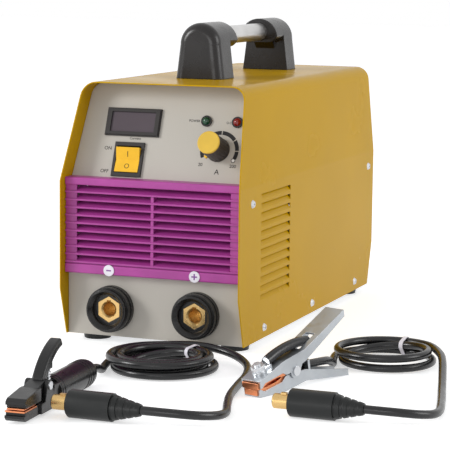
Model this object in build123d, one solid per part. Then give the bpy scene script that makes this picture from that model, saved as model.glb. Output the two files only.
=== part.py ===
from build123d import *
from math import atan2, ceil, cos, degrees, hypot, pi as PI, radians, sin, sqrt, tan
import os

# Inverter stick welder: sheet-metal case with a carrying handle, control panel, two output
# sockets, fan and power electronics, and its two welding leads laid out in front of it.
# Millimetres, +Z up, front towards -Y, origin on the floor at the middle of the case.

# ---------------------------------------------------------------- case
WIDTH = 190.0               # across the cover
LENGTH = 440.0              # front edge to rear edge of the cover
HEIGHT = 251.0              # of the cover, above the feet
FOOT_HEIGHT = 8.0
SHEET = 1.2                 # cover, tray and rear panel sheet
SEAM = 0.3                  # clearance between the cover and what slides into it
COVER_CORNER = 15.0         # outer radius of the roof edges
LEAN = 9.0                  # how far each side leans in from the bend line to the roof
BEND_HEIGHT = 155.0         # the sides lean in above this line
SLANT_BACK = 36.0           # how far the front edge slants back at the roof
CHIN_HEIGHT = 48.0          # below this line the front edge runs back again
CHIN_BACK = 15.0

LOUVRE_ROWS = 12
LOUVRE_PITCH = 9.15
LOUVRE_OPENING = 5.6
LOUVRE_DEPTH = 4.5
LOUVRE_START = 60.0         # from the front edge
LOUVRE_LENGTH = 87.0
LOUVRE_BOTTOM = 39.1

# ---------------------------------------------------------------- panels
PANEL = 1.5                 # front panel thickness
LOWER_SETBACK = 18.0        # lower front panel behind the front edge
UPPER_SETBACK = 25.0        # control panel foot behind the front edge
REAR_SETBACK = 30.0
FLANGE = 18.0               # side flanges that the cover screws grip
TRAY_WALL = 20.0

GRILLE_BOTTOM = 62.5
GRILLE_TOP = 158.0
GRILLE_SETBACK = 9.0        # grille face behind the front edge
GRILLE_WALL = 2.5
GRILLE_GAP = 0.5            # grille to cover, each side
FIN_PROUD = 2.0
FIN_ROWS = 10
FIN_PITCH = 7.75
FIN_THICKNESS = 1.7
FIN_DEPTH = 11.0
FIN_DROP = 4.6
FIN_TOP_BAND = 7.6
SLOT_SPAN = 163.0
GRILLE_RIB = 3.0
DISC_RADIUS = 5.6
DISC_THICKNESS = 0.8

# ---------------------------------------------------------------- controls, as X and height up
# the slanted panel from its foot
DISPLAY_HEIGHT = 56.8       # along the slant, from its foot
DISPLAY_SIZE = (58.0, 28.5)
WINDOW_SIZE = (47.0, 20.4)
DISPLAY_PROUD = 3.0
DISPLAY_BEVEL = 1.0
DISPLAY_WALL = 2.0
DISPLAY_DEPTH = 12.0
WINDOW_RECESS = 1.4
WINDOW_THICKNESS = 1.6
SWITCH_HEIGHT = 18.6
LEFT_INSET = 60.0           # display and switch from the left side of the case
SWITCH_SIZE = (31.5, 35.0)
SWITCH_PROUD = 2.2
SWITCH_DEPTH = 20.0
SWITCH_WALL = 1.6
ROCKER_SIZE = (25.0, 24.6)
ROCKER_GAP = 0.4
ROCKER_TRAVEL = 16.0        # degrees between OFF and ON
ROCKER_PIVOT = 2.0          # behind the panel face
ROCKER_EDGE = 6.4           # how far the ends of the rocker stand out from the pivot
ROCKER_DIP = 3.6            # the same at its middle
ROCKER_BELLY = 10.4
ROCKER_PIN = 1.5
PIN_GAP = 0.15
KNOB_INSET = 37.0           # from the right side of the case
DIAL_HEIGHT = 32.8
KNOB_RADIUS = 11.4
KNOB_SKIRT = 12.1
KNOB_HEIGHT = 29.0
KNOB_TAB = 5.0              # foot of the pointer tab above the knob's foot
KNOB_GAP = 0.6              # knob above the panel
KNOB_CAP = 2.4
SHAFT_RADIUS = 3.0
BUSHING_RADIUS = 4.8
POT_RADIUS = 12.0
POT_DEPTH = 11.0
POINTER_ANGLE = 135.0       # from straight up, at the lowest current
LAMP_HEIGHT = 61.3
LAMP_INSETS = (53.0, 20.8)  # from the right side of the case
LAMP_RADIUS = 4.0
LAMP_SLEEVE = 4.6
LAMP_DEPTH = 6.0            # behind the panel
LAMP_BEZEL = 5.5
LAMP_PROUD = 1.8
LAMP_DOME = 2.6

# ---------------------------------------------------------------- output sockets
SOCKET_INSET = 49.5         # from each side of the case
SOCKET_Z = 28.2             # above the case bottom
SOCKET_RADIUS = 23.0
SOCKET_PROUD = 18.0
SOCKET_THROAT = 15.6        # radius of the insulated mouth round the brass
SOCKET_RECESS = 9.0         # brass face behind the socket rim
SOCKET_DISH = 4.0           # depth of the slope from the rim to the mouth
SOCKET_BACK = 34.0          # behind the panel
HEX_ACROSS = 22.6
PIN_BORE = 6.6
PIN_DEPTH = 25.0
KEY_WIDTH = 4.4
KEY_HEIGHT = 2.6
STUD_RADIUS = 5.0

# ---------------------------------------------------------------- handle
POST_WIDTH = 52.5           # at its foot
POST_CROWN = 44.0           # at the spring of its arch
POST_HEIGHT = 57.0
POST_DEPTH = 36.0           # at its foot
HOOD_DEPTH = 58.0           # at the top, over the tube
POST_ROUND = 10.0
HOOD_WALL = 2.0             # under the tube at the hood's open end
HOOD_CORNER = 11.0          # round of the hood's lower corners
NECK_RUN = 7.0              # slope between the hood's underside and the post
TUBE_RADIUS = 9.5
TUBE_WALL = 1.5
TUBE_HEIGHT = 42.5          # axis above the roof
TUBE_SOCKET = 30.0          # length of tube in each post
HANDLE_START = 125.0        # front post behind the front edge
HANDLE_SPAN = 239.0         # outside length over both posts

# ---------------------------------------------------------------- feet and fasteners
FOOT_RADIUS = 15.0
FOOT_SIDE = 20.5            # from each side of the case
FOOT_INSET = (46.0, 40.0)   # from the front and rear edges
SCREW_HEAD = 4.2
SCREW_SHANK = 2.0
SCREW_LENGTH = 9.0
SCREW_PROUD = 2.0
SLOT = 0.9                  # cross recess of the screws
SLOT_DEPTH = 1.1
SCREW_LOW = 10.5
SCREW_HIGH = 138.0
HIGH_INSET = 35.0           # high screws from the front edge
REAR_INSET = 21.0
LOW_STATIONS = (72.0, 222.0, 374.0)
BOLT_RADIUS = 3.0
BOLT_HEAD = 5.5
BOLT_LENGTH = 16.0

# ---------------------------------------------------------------- fan and rear
FAN_SIZE = 120.0
FAN_DEPTH = 38.0
FAN_BORE = 57.0
FAN_HEIGHT = 128.0          # axis above the case bottom
FAN_HUB = 21.0
FAN_BLADES = 7
BLADE_TIP = 54.0
BLADE_PITCH = 38.0          # degrees
FAN_SHAFT = 2.5
GUARD_RINGS = 6
GUARD_WIRE = 1.3
GLAND_INSET = (33.0, 34.0)  # from the case's side and bottom
GLAND_RADIUS = 12.0
GLAND_BORE = 5.0
GLAND_PROUD = 24.0

# ---------------------------------------------------------------- power electronics
HEATSINK = (120.0, 190.0, 52.0)
HEATSINK_BASE = 8.0
HEATSINK_FINS = 9
FIN_WEB = 2.4
BOARD = (150.0, 230.0, 1.6)
CAPACITOR_RADIUS = 15.0
CAPACITOR_HEIGHT = 45.0
CAPACITORS = (-32.5, -62.5)      # middle of the four, from the board's middle
CAPACITOR_PITCH = 35.0
CORE = (56.0, 62.0, 48.0)
CORE_LIMB = 14.0
TRANSFORMER = (35.0, 45.0)       # its centre, from the board's middle
WINDING_WALL = 9.0
WINDING_GAP = 0.5
BUSBAR = (14.0, 3.0)
BUSBAR_LAP = 14.0           # length lying on the board
BOARD_START = 75.0          # board behind the front edge

# ---------------------------------------------------------------- leads
CABLE = 7.5                 # diameter
TIE = 0.6
TIE_GAP = 0.35
TIE_WIDTH = 4.0
FLOOR_GAP = 0.05
COIL_PITCH = 9.6            # turn to turn
LAYER_PITCH = 9.2
PLUG_RADIUS = 12.0
PLUG_LENGTH = 80.0
PLUG_PIN_LENGTH = 15.0
PLUG_PIN_FIT = 0.1          # pin radius under the socket's bore
PLUG_BODY = 40.0
BOOT_RADIUS = 5.8
BOOT_RIBS = 4
PIN_SHANK = 4.8
PIN_SHANK_LENGTH = 24.0
SHANK_GAP = 0.1

# electrode holder: stations along it from the cable end, heights from the grip's axis
HOLDER_LENGTH = 161.0
HOLDER_RADIUS = 13.2
GRIP_RADIUS = 12.8          # between the rings
HOLDER_GRIP = 90.5
GRIP_END = [(7.4, 0.0), (9.2, 2.6), (11.7, 8.0), (GRIP_RADIUS, 12.0)]     # radius, station
GRIP_RINGS = (15.5, 21.0, 26.5, 80.0, 85.5)
RING_WIDTH = 2.4
HEAD_START = 85.5
HEAD_TOP = 8.8
HEAD_FLOOR = 10.6           # below the axis
HEAD_WELL = 1.7             # floor of the well under the lever's hub
HOLDER_HEAD = 10.6          # half width of the head
HOLDER_PIVOT = (111.5, 10.6)
HOLDER_PIN = 2.2
HOLDER_HUB = 5.0
THUMB_TIP = (71.5, 40.5)
THUMB_WIDTH = 11.0
THUMB_ROUND = 2.0
JAW_START = 129.0
JAW_TOP = -1.8
JAW_WIDTH = 17.6
JAW_NOTCH = 2.8
NOSE_HEIGHT = 11.3          # of the upper jaw over its contact
CONTACT = 1.2
CONTACT_LENGTH = 26.0
CONTACT_GAP = 0.6
CHEEK = 3.2
SIDE_GAP = 0.4
SPRING_WIRE = 0.7           # radius
SPRING_GAP = 0.05
SPRING_STATION = 95.0
SPRING_RADIUS = 3.4
SPRING_TURNS = 4
SPRING_HEIGHT = 12.2
SPRING_BOSS = (91.0, 99.0)  # stations of the boss under the thumb bar

# Earth clamp
CLAMP_LENGTH = 128.0
CLAMP_PIVOT = 51.0
CLAMP_BACK = [              # station and height over the jaw line
    (0.0, 7.7), (34.0, 14.5), (66.0, 15.3), (CLAMP_LENGTH, 32.3),
]
CLAMP_RIM = [               # free edge of the flanges, with the eye between the jaws
    (CLAMP_LENGTH, 26.0), (66.0, 4.3), (41.0, 0.8), (37.4, 0.9), (32.3, 4.3), (6.8, 3.9),
    (2.6, 0.8), (0.0, 0.8),
]
CLAMP_SHEET = 1.5
UPPER_WIDTH = 21.0
EAR_RADIUS = 7.0
EAR_NECK = (12.0, 6.8)      # half width and height of the flange that carries an ear
CLAMP_PIN = 2.6
TORSION_RADIUS = 6.0
TORSION_TURNS = 4
TORSION_WIRE = 0.9
JAW_STRIP = [
    (-1.7, 0.3), (5.0, 0.3), (12.0, 2.0), (27.0, 2.0), (35.5, 0.3), (37.4, 0.3), (37.4, 7.2),
    (-1.7, 5.6),
]
TERMINAL_STATION = 12.5     # cable bolt behind the clamp's tip
TERMINAL_BOLT = 3.2
TERMINAL_NUT = 5.5          # half across its flats
LUG_RADIUS = 6.4
LUG_TAIL = (12.0, 8.0)
LUG_THICKNESS = 2.0
SLEEVE = 4.5                # radius of the cable sleeve on the upper jaw
SLEEVE_PATH = [(23.0, 17.2), (35.5, 19.6), (51.0, 20.7), (68.0, 19.8), (82.5, 16.25)]
SLEEVE_SLOT = (64.5, 89.0)
SLEEVE_GAP = 0.4
GRIP_STATION = 71.5         # plate in the lower arm that holds the cable
GRIP_PLATE = 3.0
GRIP_SPAN = (-16.0, 2.5)    # its foot and head, from the jaw line

# Where the tools, plugs and coils lie
HOLDER_PLACE = (11.1, -379.4, -87.0)
CLAMP_PLACE = (163.0, -367.0, 71.0)
MINUS_PLUG = (34.0, -497.0)
PLUS_PLUG = (202.0, -419.0)
MINUS_COIL = (48.0, -296.0, 54.0)           # centre and radius
PLUS_COIL = (231.0, -184.0, 50.0)
MINUS_QUARTERS = (8, 7)     # quarter turns going in, and out again on top
PLUS_QUARTERS = (4, 4)
COIL_START = 201.0          # angle at which each coil begins
MINUS_TIE = 66.0
PLUS_TIE = 82.0

MINUS_START = [
    (11.099, -379.38, 13.25), (10.184, -361.924, 13.25), (5.7, -338.45, 4.7), (0.077, -322.434, 4.7),
]
MINUS_TAIL = [
    (36.42, -244.936, 13.9), (62.3, -234.1, 13.9), (96.0, -239.0, 9.6), (121.0, -262.0, 5.4),
    (134.0, -300.0, 3.8), (140.5, -342.0, 3.8), (148.0, -382.0, 3.8), (159.5, -418.0, 3.8),
    (173.0, -454.0, 4.6), (164.6, -480.5, 8.2), (142.0, -497.0, 12.0), (114.0, -497.0, 12.0),
]
PLUS_START = [
    (186.1, -300.0, 17.8), (194.6, -275.4, 17.0), (197.2, -250.5, 14.2), (193.55, -228.35, 4.7),
    (186.796, -209.008, 4.7),
]
PLUS_TAIL = [
    (280.577, -172.991, 13.9), (291.0, -197.9, 13.9), (304.0, -248.0, 7.0), (316.0, -296.0, 3.8),
    (327.0, -340.0, 3.8), (335.5, -379.0, 4.6), (328.0, -403.0, 8.0), (306.0, -419.0, 12.0),
    (282.0, -419.0, 12.0),
]

BOTTOM = FOOT_HEIGHT
ROOF = BOTTOM + HEIGHT
FRONT = -LENGTH / 2
REAR = LENGTH / 2
HALF = WIDTH / 2
DISPLAY = (LEFT_INSET - HALF, DISPLAY_HEIGHT)
SWITCH = (LEFT_INSET - HALF, SWITCH_HEIGHT)
KNOB = (HALF - KNOB_INSET, DIAL_HEIGHT)
LAMP_X = [HALF - inset for inset in LAMP_INSETS]
SOCKET_X = HALF - SOCKET_INSET
FOOT_X = HALF - FOOT_SIDE
GLAND_PLACE = (HALF - GLAND_INSET[0], GLAND_INSET[1])
INNER = HALF - SHEET        # inside face of the cover
LEAN_RATE = LEAN / (HEIGHT - BEND_HEIGHT)
SLANT_RATE = SLANT_BACK / (HEIGHT - BEND_HEIGHT)
CABLE_RADIUS = CABLE / 2
COIL_BASE = CABLE_RADIUS + TIE + TIE_GAP
COIL_TOP = COIL_BASE + LAYER_PITCH

SLANT = sqrt(1 + SLANT_RATE ** 2)
PANEL_FOOT = Vector(0, FRONT + UPPER_SETBACK, BOTTOM + GRILLE_TOP)
PANEL_OUT = Vector(0, -1 / SLANT, SLANT_RATE / SLANT)
CONTROL = Plane(origin=PANEL_FOOT, x_dir=(1, 0, 0), z_dir=PANEL_OUT)

STANDING = (Align.CENTER, Align.CENTER, Align.MIN)

parts = {}


def save(name, shape, *more):
    parts[name] = Compound(children=[shape, *more]) if more else shape


def block(x, y, z):
    """A box from its low and high limits along each axis."""
    size = Box(x[1] - x[0], y[1] - y[0], z[1] - z[0])
    return Pos((x[0] + x[1]) / 2, (y[0] + y[1]) / 2, (z[0] + z[1]) / 2) * size


def rod(start, end, radius):
    axis = Vector(*end) - Vector(*start)
    base = Plane(origin=start, z_dir=axis)
    return extrude(base * Circle(radius), axis.length)


def cone(start, end, radius, end_radius):
    axis = Vector(*end) - Vector(*start)
    base = Plane(origin=start, z_dir=axis)
    return base * Cone(radius, end_radius, axis.length, align=STANDING)


def side_prism(points, x_low, x_high):
    """A polygon of (y, z) points drawn out along X."""
    plane = Plane(origin=(x_low, 0, 0), x_dir=(0, 1, 0), z_dir=(1, 0, 0))
    return extrude(plane * make_face(Polyline(*points, close=True)), x_high - x_low)


def outline(*points):
    return make_face(Polyline(*points, close=True))


def end_prism(sketch, y_low, y_high):
    """A sketch in (x, z) drawn out along Y."""
    plane = Plane(origin=(0, y_high, 0), x_dir=(1, 0, 0), z_dir=(0, -1, 0))
    return extrude(plane * sketch, y_high - y_low)


def case_outline(inset, foot):
    """Cross-section of the cover, moved in by inset, its open foot at height foot."""
    half = HALF - inset
    top = ROOF - inset
    bend = BOTTOM + BEND_HEIGHT
    crown = half - LEAN_RATE * (top - bend)
    right = [(half, foot), (half, bend), (crown, top)]
    left = [(-x, z) for x, z in reversed(right)]
    shape = make_face(Polyline(*right, *left, close=True))
    corners = shape.vertices().sort_by(Axis.Y)[-2:]
    return fillet(corners, COVER_CORNER - inset)


def slab(plane, place, size, low, high):
    """A rectangle about place on a plane, drawn out from low to high above it."""
    return extrude(plane.offset(low) * Pos(*place) * Rectangle(*size), high - low)


def grown(size, margin):
    """A width and height with a margin added on every side."""
    return (size[0] + 2 * margin, size[1] + 2 * margin)


def inside_cover(clearance):
    return end_prism(case_outline(SHEET + clearance, BOTTOM - FOOT_HEIGHT), FRONT, REAR)


def pan_screw(seat, outward, length):
    """Cross-head pan screw, its head resting on the point seat."""
    plane = Plane(origin=seat, z_dir=outward)
    head = plane * Cone(SCREW_HEAD, SCREW_HEAD - 1.4, SCREW_PROUD, align=STANDING)
    shank = extrude(plane * Circle(SCREW_SHANK), -length)
    cross = Rectangle(SCREW_HEAD, SLOT) + Rectangle(SLOT, SCREW_HEAD)
    return head + shank - extrude(plane.offset(SCREW_PROUD) * cross, -SLOT_DEPTH)


# ---------------------------------------------------------------- case
def side_outline(clearance):
    """Side view of the cover's edges, moved in by clearance."""
    front = FRONT + clearance
    rear = REAR - clearance
    return [
        (front + CHIN_BACK, BOTTOM),
        (front, BOTTOM + CHIN_HEIGHT),
        (front, BOTTOM + BEND_HEIGHT),
        (front + SLANT_BACK, ROOF),
        (rear, ROOF),
        (rear, BOTTOM + CHIN_HEIGHT),
        (rear - CHIN_BACK, BOTTOM),
    ]


def louvre_cut(side, foot):
    x = sorted((side * (HALF + 1), side * (INNER - 1)))
    y = (FRONT + LOUVRE_START, FRONT + LOUVRE_START + LOUVRE_LENGTH)
    return block(x, y, (foot, foot + LOUVRE_OPENING))


def louvre_blade(side, foot):
    """A pressed blade: hinged on the sheet at its foot, sunk in at its head."""
    head = foot + LOUVRE_OPENING + 1
    corners = [(HALF, foot), (INNER, foot), (INNER - LOUVRE_DEPTH, head), (HALF - LOUVRE_DEPTH, head)]
    sketch = outline(*[(side * x, z) for x, z in corners])
    start = FRONT + LOUVRE_START
    return end_prism(sketch, start + SEAM, start + LOUVRE_LENGTH - SEAM)


def louvre_feet():
    return [BOTTOM + LOUVRE_BOTTOM + row * LOUVRE_PITCH for row in range(LOUVRE_ROWS)]


def screw_stations():
    """Seats of the cover screws on the right side, as (y, z)."""
    low = [(FRONT + y, BOTTOM + SCREW_LOW) for y in LOW_STATIONS]
    high = [(FRONT + HIGH_INSET, BOTTOM + SCREW_HIGH), (REAR - REAR_INSET, BOTTOM + SCREW_HIGH)]
    return low + high


def screw_holes():
    reach = HALF + 1
    holes = [rod((-reach, y, z), (reach, y, z), SCREW_SHANK + PIN_GAP) for y, z in screw_stations()]
    return Compound(children=holes)


def post_bolts():
    """Bolt axes of the handle posts, as (x, y) on the roof."""
    first = FRONT + HANDLE_START + POST_DEPTH / 2
    last = FRONT + HANDLE_START + HANDLE_SPAN - POST_DEPTH / 2
    return [(x, y) for y in (first, last) for x in (-POST_WIDTH / 4, POST_WIDTH / 4)]


def cover():
    shell = end_prism(case_outline(0, BOTTOM), FRONT, REAR)
    shell -= end_prism(case_outline(SHEET, BOTTOM - 1), FRONT - 1, REAR + 1)
    shell &= side_prism(side_outline(0), -HALF - 1, HALF + 1)
    cuts = []
    blades = []
    for side in (-1, 1):
        cuts += [louvre_cut(side, foot) for foot in louvre_feet()]
        blades += [louvre_blade(side, foot) for foot in louvre_feet()]
    cuts += [rod((-HALF - 1, y, z), (-INNER + 1, y, z), SCREW_SHANK + PIN_GAP) for y, z in screw_stations()]
    cuts += [rod((INNER - 1, y, z), (HALF + 1, y, z), SCREW_SHANK + PIN_GAP) for y, z in screw_stations()]
    cuts += [rod((x, y, ROOF - SHEET - 1), (x, y, ROOF + 1), BOLT_RADIUS + PIN_GAP) for x, y in post_bolts()]
    return shell.cut(*cuts).fuse(*blades)


def base_tray():
    front = FRONT + LOWER_SETBACK + PANEL
    rear = REAR - REAR_SETBACK - SHEET
    floor = block((-INNER, INNER), (front, rear), (BOTTOM, BOTTOM + SHEET))
    wall = (BOTTOM, BOTTOM + TRAY_WALL)
    floor += block((-INNER, -INNER + SHEET), (front, rear), wall)
    floor += block((INNER - SHEET, INNER), (front, rear), wall)
    floor += block((-INNER, INNER), (front, front + SHEET), wall)
    floor += block((-INNER, INNER), (rear - SHEET, rear), wall)
    bore = SCREW_SHANK + PIN_GAP
    holes = [rod((x, y, BOTTOM - 1), (x, y, BOTTOM + SHEET + 1), bore) for x, y in foot_places()]
    return floor.cut(*holes) - screw_holes() - socket_cuts()


def foot_places():
    front = FRONT + FOOT_INSET[0]
    rear = REAR - FOOT_INSET[1]
    return [(x, y) for y in (front, rear) for x in (-FOOT_X, FOOT_X)]


def feet():
    """Tapered rubber feet, recessed for their screws."""
    made = []
    for x, y in foot_places():
        foot = cone((x, y, 0), (x, y, BOTTOM), FOOT_RADIUS - 1.5, FOOT_RADIUS)
        foot -= rod((x, y, -1), (x, y, BOTTOM / 2), SCREW_HEAD + 1)
        foot -= rod((x, y, 0), (x, y, BOTTOM + 1), SCREW_SHANK + PIN_GAP)
        made.append(foot)
    return made


def control_rod(place, radius, low, high):
    """A round along the control panel's normal, from low to high above its face."""
    return extrude(CONTROL.offset(low) * Pos(*place) * Circle(radius), high - low)


def socket_cuts():
    cuts = []
    for x in (-SOCKET_X, SOCKET_X):
        z = BOTTOM + SOCKET_Z
        cuts.append(rod((x, FRONT, z), (x, FRONT + 2 * UPPER_SETBACK, z), SOCKET_RADIUS - 5 + SEAM))
    return Compound(children=cuts)


def front_panel():
    """One folded sheet: chin, step under the grille, wall behind it, slanted control panel."""
    chin = FRONT + LOWER_SETBACK
    wall = FRONT + UPPER_SETBACK
    step = BOTTOM + GRILLE_BOTTOM
    fold = BOTTOM + GRILLE_TOP
    rise = ROOF - fold + 5
    back = PANEL * (SLANT - 1) / SLANT_RATE
    profile = [
        (chin, BOTTOM),
        (chin, step),
        (wall, step),
        (wall, fold),
        (wall + rise * SLANT_RATE, fold + rise),
        (wall + rise * SLANT_RATE + PANEL * SLANT, fold + rise),
        (wall + PANEL, fold - back),
        (wall + PANEL, step - PANEL),
        (chin + PANEL, step - PANEL),
        (chin + PANEL, BOTTOM),
    ]
    sheet = side_prism(profile, -HALF, HALF)
    flange = [
        (chin + PANEL, BOTTOM + TRAY_WALL + 2),
        (wall + PANEL + FLANGE, BOTTOM + TRAY_WALL + 2),
        (wall + PANEL + FLANGE, BOTTOM + BEND_HEIGHT - 4),
        (wall + PANEL, BOTTOM + BEND_HEIGHT - 4),
        (wall + PANEL, step - PANEL),
        (chin + PANEL, step - PANEL),
    ]
    edge = INNER - SEAM
    sheet += side_prism(flange, -edge, -edge + PANEL)
    sheet += side_prism(flange, edge - PANEL, edge)
    sheet &= inside_cover(SEAM)
    x, y, z = INNER - 16, (wall - 1, wall + PANEL + 1), (step + 14, fold - 8)
    sheet -= block((-x, x), y, z)
    through = (-2 * PANEL, PANEL)
    sheet -= slab(CONTROL, DISPLAY, grown(display_well(), SEAM), *through)
    sheet -= slab(CONTROL, SWITCH, grown(rocker_well(), SWITCH_WALL + SEAM), *through)
    sheet -= control_rod(KNOB, BUSHING_RADIUS + PIN_GAP, *through)
    for x in LAMP_X:
        sheet -= control_rod((x, LAMP_HEIGHT), LAMP_SLEEVE + PIN_GAP, *through)
    return sheet - screw_holes() - socket_cuts()


def front_grille():
    """Moulded louvre frame that stands proud of the panel: bands, slots, fins and a middle rib."""
    face = FRONT + GRILLE_SETBACK
    wall = face + FIN_PROUD
    back = FRONT + UPPER_SETBACK
    foot = BOTTOM + GRILLE_BOTTOM
    top = BOTTOM + GRILLE_TOP
    half = INNER - GRILLE_GAP
    body = block((-half, half), (wall, back), (foot, top))
    body -= block((-half + GRILLE_WALL, half - GRILLE_WALL), (wall + GRILLE_WALL, back + 1),
                  (foot + GRILLE_WALL, top - GRILLE_WALL))
    slots_top = top - FIN_TOP_BAND
    slots_foot = slots_top - FIN_ROWS * FIN_PITCH
    band = block((-half, half), (face, wall), (slots_top, top))
    body += fillet(band.edges().filter_by(Axis.X).group_by(Axis.Y)[0], FIN_PROUD * 0.7)
    band = block((-half, half), (face, wall), (foot, slots_foot - 1))
    body += fillet(band.edges().filter_by(Axis.X).group_by(Axis.Y)[0], FIN_PROUD * 0.7)
    cuts = []
    fins = []
    for row in range(FIN_ROWS):
        slot_top = slots_top - row * FIN_PITCH
        z = (slot_top - FIN_PITCH + FIN_THICKNESS, slot_top)
        cuts.append(block((-SLOT_SPAN / 2, SLOT_SPAN / 2), (face - 1, wall + GRILLE_WALL + 0.01), z))
        low = slot_top - FIN_PITCH
        section = [
            (face, low),
            (face, low + FIN_THICKNESS),
            (face + FIN_DEPTH, low + FIN_THICKNESS + FIN_DROP),
            (face + FIN_DEPTH, low + FIN_DROP),
        ]
        fins.append(side_prism(section, -SLOT_SPAN / 2, SLOT_SPAN / 2))
        lip = block((-half, half), (face, wall), (low, low + FIN_THICKNESS))
        fins.append(lip)
    rib_top = slots_top - FIN_PITCH
    rib = block((-GRILLE_RIB / 2, GRILLE_RIB / 2), (face + 1, face + FIN_DEPTH), (slots_foot, rib_top))
    return body.cut(*cuts).fuse(*fins, rib)


def polarity_discs():
    z = BOTTOM + GRILLE_BOTTOM + (GRILLE_TOP - GRILLE_BOTTOM - FIN_TOP_BAND - FIN_ROWS * FIN_PITCH - 1) / 2
    y = FRONT + GRILLE_SETBACK
    return [rod((x, y, z), (x, y - DISC_THICKNESS, z), DISC_RADIUS) for x in (-SOCKET_X, SOCKET_X)]


def rear_panel():
    face = REAR - REAR_SETBACK
    edge = INNER - SEAM
    z = (BOTTOM + TRAY_WALL + 2, BOTTOM + BEND_HEIGHT - 4)
    sheet = block((-HALF, HALF), (face - SHEET, face), (BOTTOM, ROOF)) & inside_cover(SEAM)
    sheet += block((-edge, -edge + SHEET), (face, face + FLANGE), z)
    sheet += block((edge - SHEET, edge), (face, face + FLANGE), z)
    axis = BOTTOM + FAN_HEIGHT
    sheet -= rod((0, face - SHEET - 1, axis), (0, face + 1, axis), FAN_BORE)
    x, height = GLAND_PLACE
    z = BOTTOM + height
    sheet -= rod((x, face - SHEET - 1, z), (x, face + 1, z), GLAND_RADIUS - 3 + PIN_GAP)
    for x, z in fan_corners():
        sheet -= rod((x, face - SHEET - 1, z), (x, face + 1, z), SCREW_SHANK + PIN_GAP)
    return sheet - screw_holes()


# ---------------------------------------------------------------- controls
def display_well():
    """Size of the display's body behind the panel."""
    return grown(WINDOW_SIZE, DISPLAY_WALL)


def display_bezel():
    """Bevelled frame on the panel, with the display's body behind it."""
    base = CONTROL * Pos(*DISPLAY) * Rectangle(*DISPLAY_SIZE)
    frame = extrude(base, DISPLAY_PROUD - DISPLAY_BEVEL)
    frame += slab(CONTROL, DISPLAY, grown(DISPLAY_SIZE, -DISPLAY_BEVEL), 0, DISPLAY_PROUD)
    frame += slab(CONTROL, DISPLAY, display_well(), -DISPLAY_DEPTH, 0)
    return frame - slab(CONTROL, DISPLAY, WINDOW_SIZE, WINDOW_RECESS - WINDOW_THICKNESS, DISPLAY_PROUD + 1)


def display_window():
    return slab(CONTROL, DISPLAY, WINDOW_SIZE, WINDOW_RECESS - WINDOW_THICKNESS, WINDOW_RECESS)


ROCKER_PLANE = Plane(CONTROL.location * Pos(*SWITCH, -ROCKER_PIVOT))


def rocker_well():
    """Opening that the rocker swings in, clear of its corners at both ends of the travel."""
    half = ROCKER_SIZE[1] / 2
    swing = half + ROCKER_EDGE * sin(radians(ROCKER_TRAVEL / 2)) + ROCKER_GAP
    return (ROCKER_SIZE[0] + 2 * ROCKER_GAP, 2 * swing)


def switch_housing():
    well = rocker_well()
    body = slab(CONTROL, SWITCH, SWITCH_SIZE, 0, SWITCH_PROUD)
    body += slab(CONTROL, SWITCH, grown(well, SWITCH_WALL), -SWITCH_DEPTH, 0)
    floor = -ROCKER_PIVOT - ROCKER_BELLY - ROCKER_GAP
    body -= slab(CONTROL, SWITCH, well, floor, SWITCH_PROUD + 1)
    side = SWITCH[0] + well[0] / 2 + SWITCH_WALL + 1
    other = SWITCH[0] - well[0] / 2 - SWITCH_WALL - 1
    pivot = ROCKER_PLANE.origin
    return body - rod((side, pivot.Y, pivot.Z), (other, pivot.Y, pivot.Z), ROCKER_PIN + PIN_GAP)


def switch_rocker():
    """Dished rocker on two trunnions, standing at OFF: its upper half out."""
    half = ROCKER_SIZE[1] / 2
    section = make_face(Polyline((-half, ROCKER_EDGE), (0, ROCKER_DIP), (half, ROCKER_EDGE), (half, -1),
                                 (-half, -1), close=True))
    section += Circle(ROCKER_BELLY)
    section -= make_face(Polyline((-half, ROCKER_EDGE), (0, ROCKER_DIP), (half, ROCKER_EDGE),
                                  (half, 2 * ROCKER_BELLY), (-half, 2 * ROCKER_BELLY), close=True))
    tilt = Rot(0, 0, ROCKER_TRAVEL / 2)
    width = ROCKER_SIZE[0]
    across = Plane(origin=ROCKER_PLANE.origin - Vector(width / 2, 0, 0), x_dir=CONTROL.y_dir, z_dir=(1, 0, 0))
    body = extrude(across * tilt * section, width)
    pivot = ROCKER_PLANE.origin
    reach = rocker_well()[0] / 2 + SWITCH_WALL - 0.3
    return body + rod((pivot.X - reach, pivot.Y, pivot.Z), (pivot.X + reach, pivot.Y, pivot.Z), ROCKER_PIN)


def potentiometer():
    body = control_rod(KNOB, POT_RADIUS, -PANEL - POT_DEPTH, -PANEL)
    body += control_rod(KNOB, BUSHING_RADIUS, -PANEL, KNOB_GAP / 2)
    return body - control_rod(KNOB, SHAFT_RADIUS + PIN_GAP, -PANEL - POT_DEPTH + 2, KNOB_GAP)


def current_knob():
    """Fluted knob with its shaft; the pointer tab on the skirt marks the setting."""
    low = KNOB_GAP
    high = KNOB_HEIGHT - KNOB_CAP
    axis = CONTROL.offset(low) * Pos(*KNOB)
    body = axis * Cone(KNOB_RADIUS + 0.5, KNOB_RADIUS, high - low, align=STANDING)
    body += axis * Cone(KNOB_SKIRT, KNOB_RADIUS + 0.5, 3.0, align=STANDING)
    for flute in range(18):
        groove = Rot(0, 0, flute * 20) * Pos(KNOB_RADIUS + 1.0, 0, 4) * Cylinder(1.2, high, align=STANDING)
        body -= axis * groove
    tab = Rot(0, 0, 90 + POINTER_ANGLE) * Pos(KNOB_SKIRT, 0, KNOB_TAB) * Box(3.4, 3.0, 2.6, align=STANDING)
    body += axis * tab
    return body + control_rod(KNOB, SHAFT_RADIUS, -PANEL - POT_DEPTH + 3, low)


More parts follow.
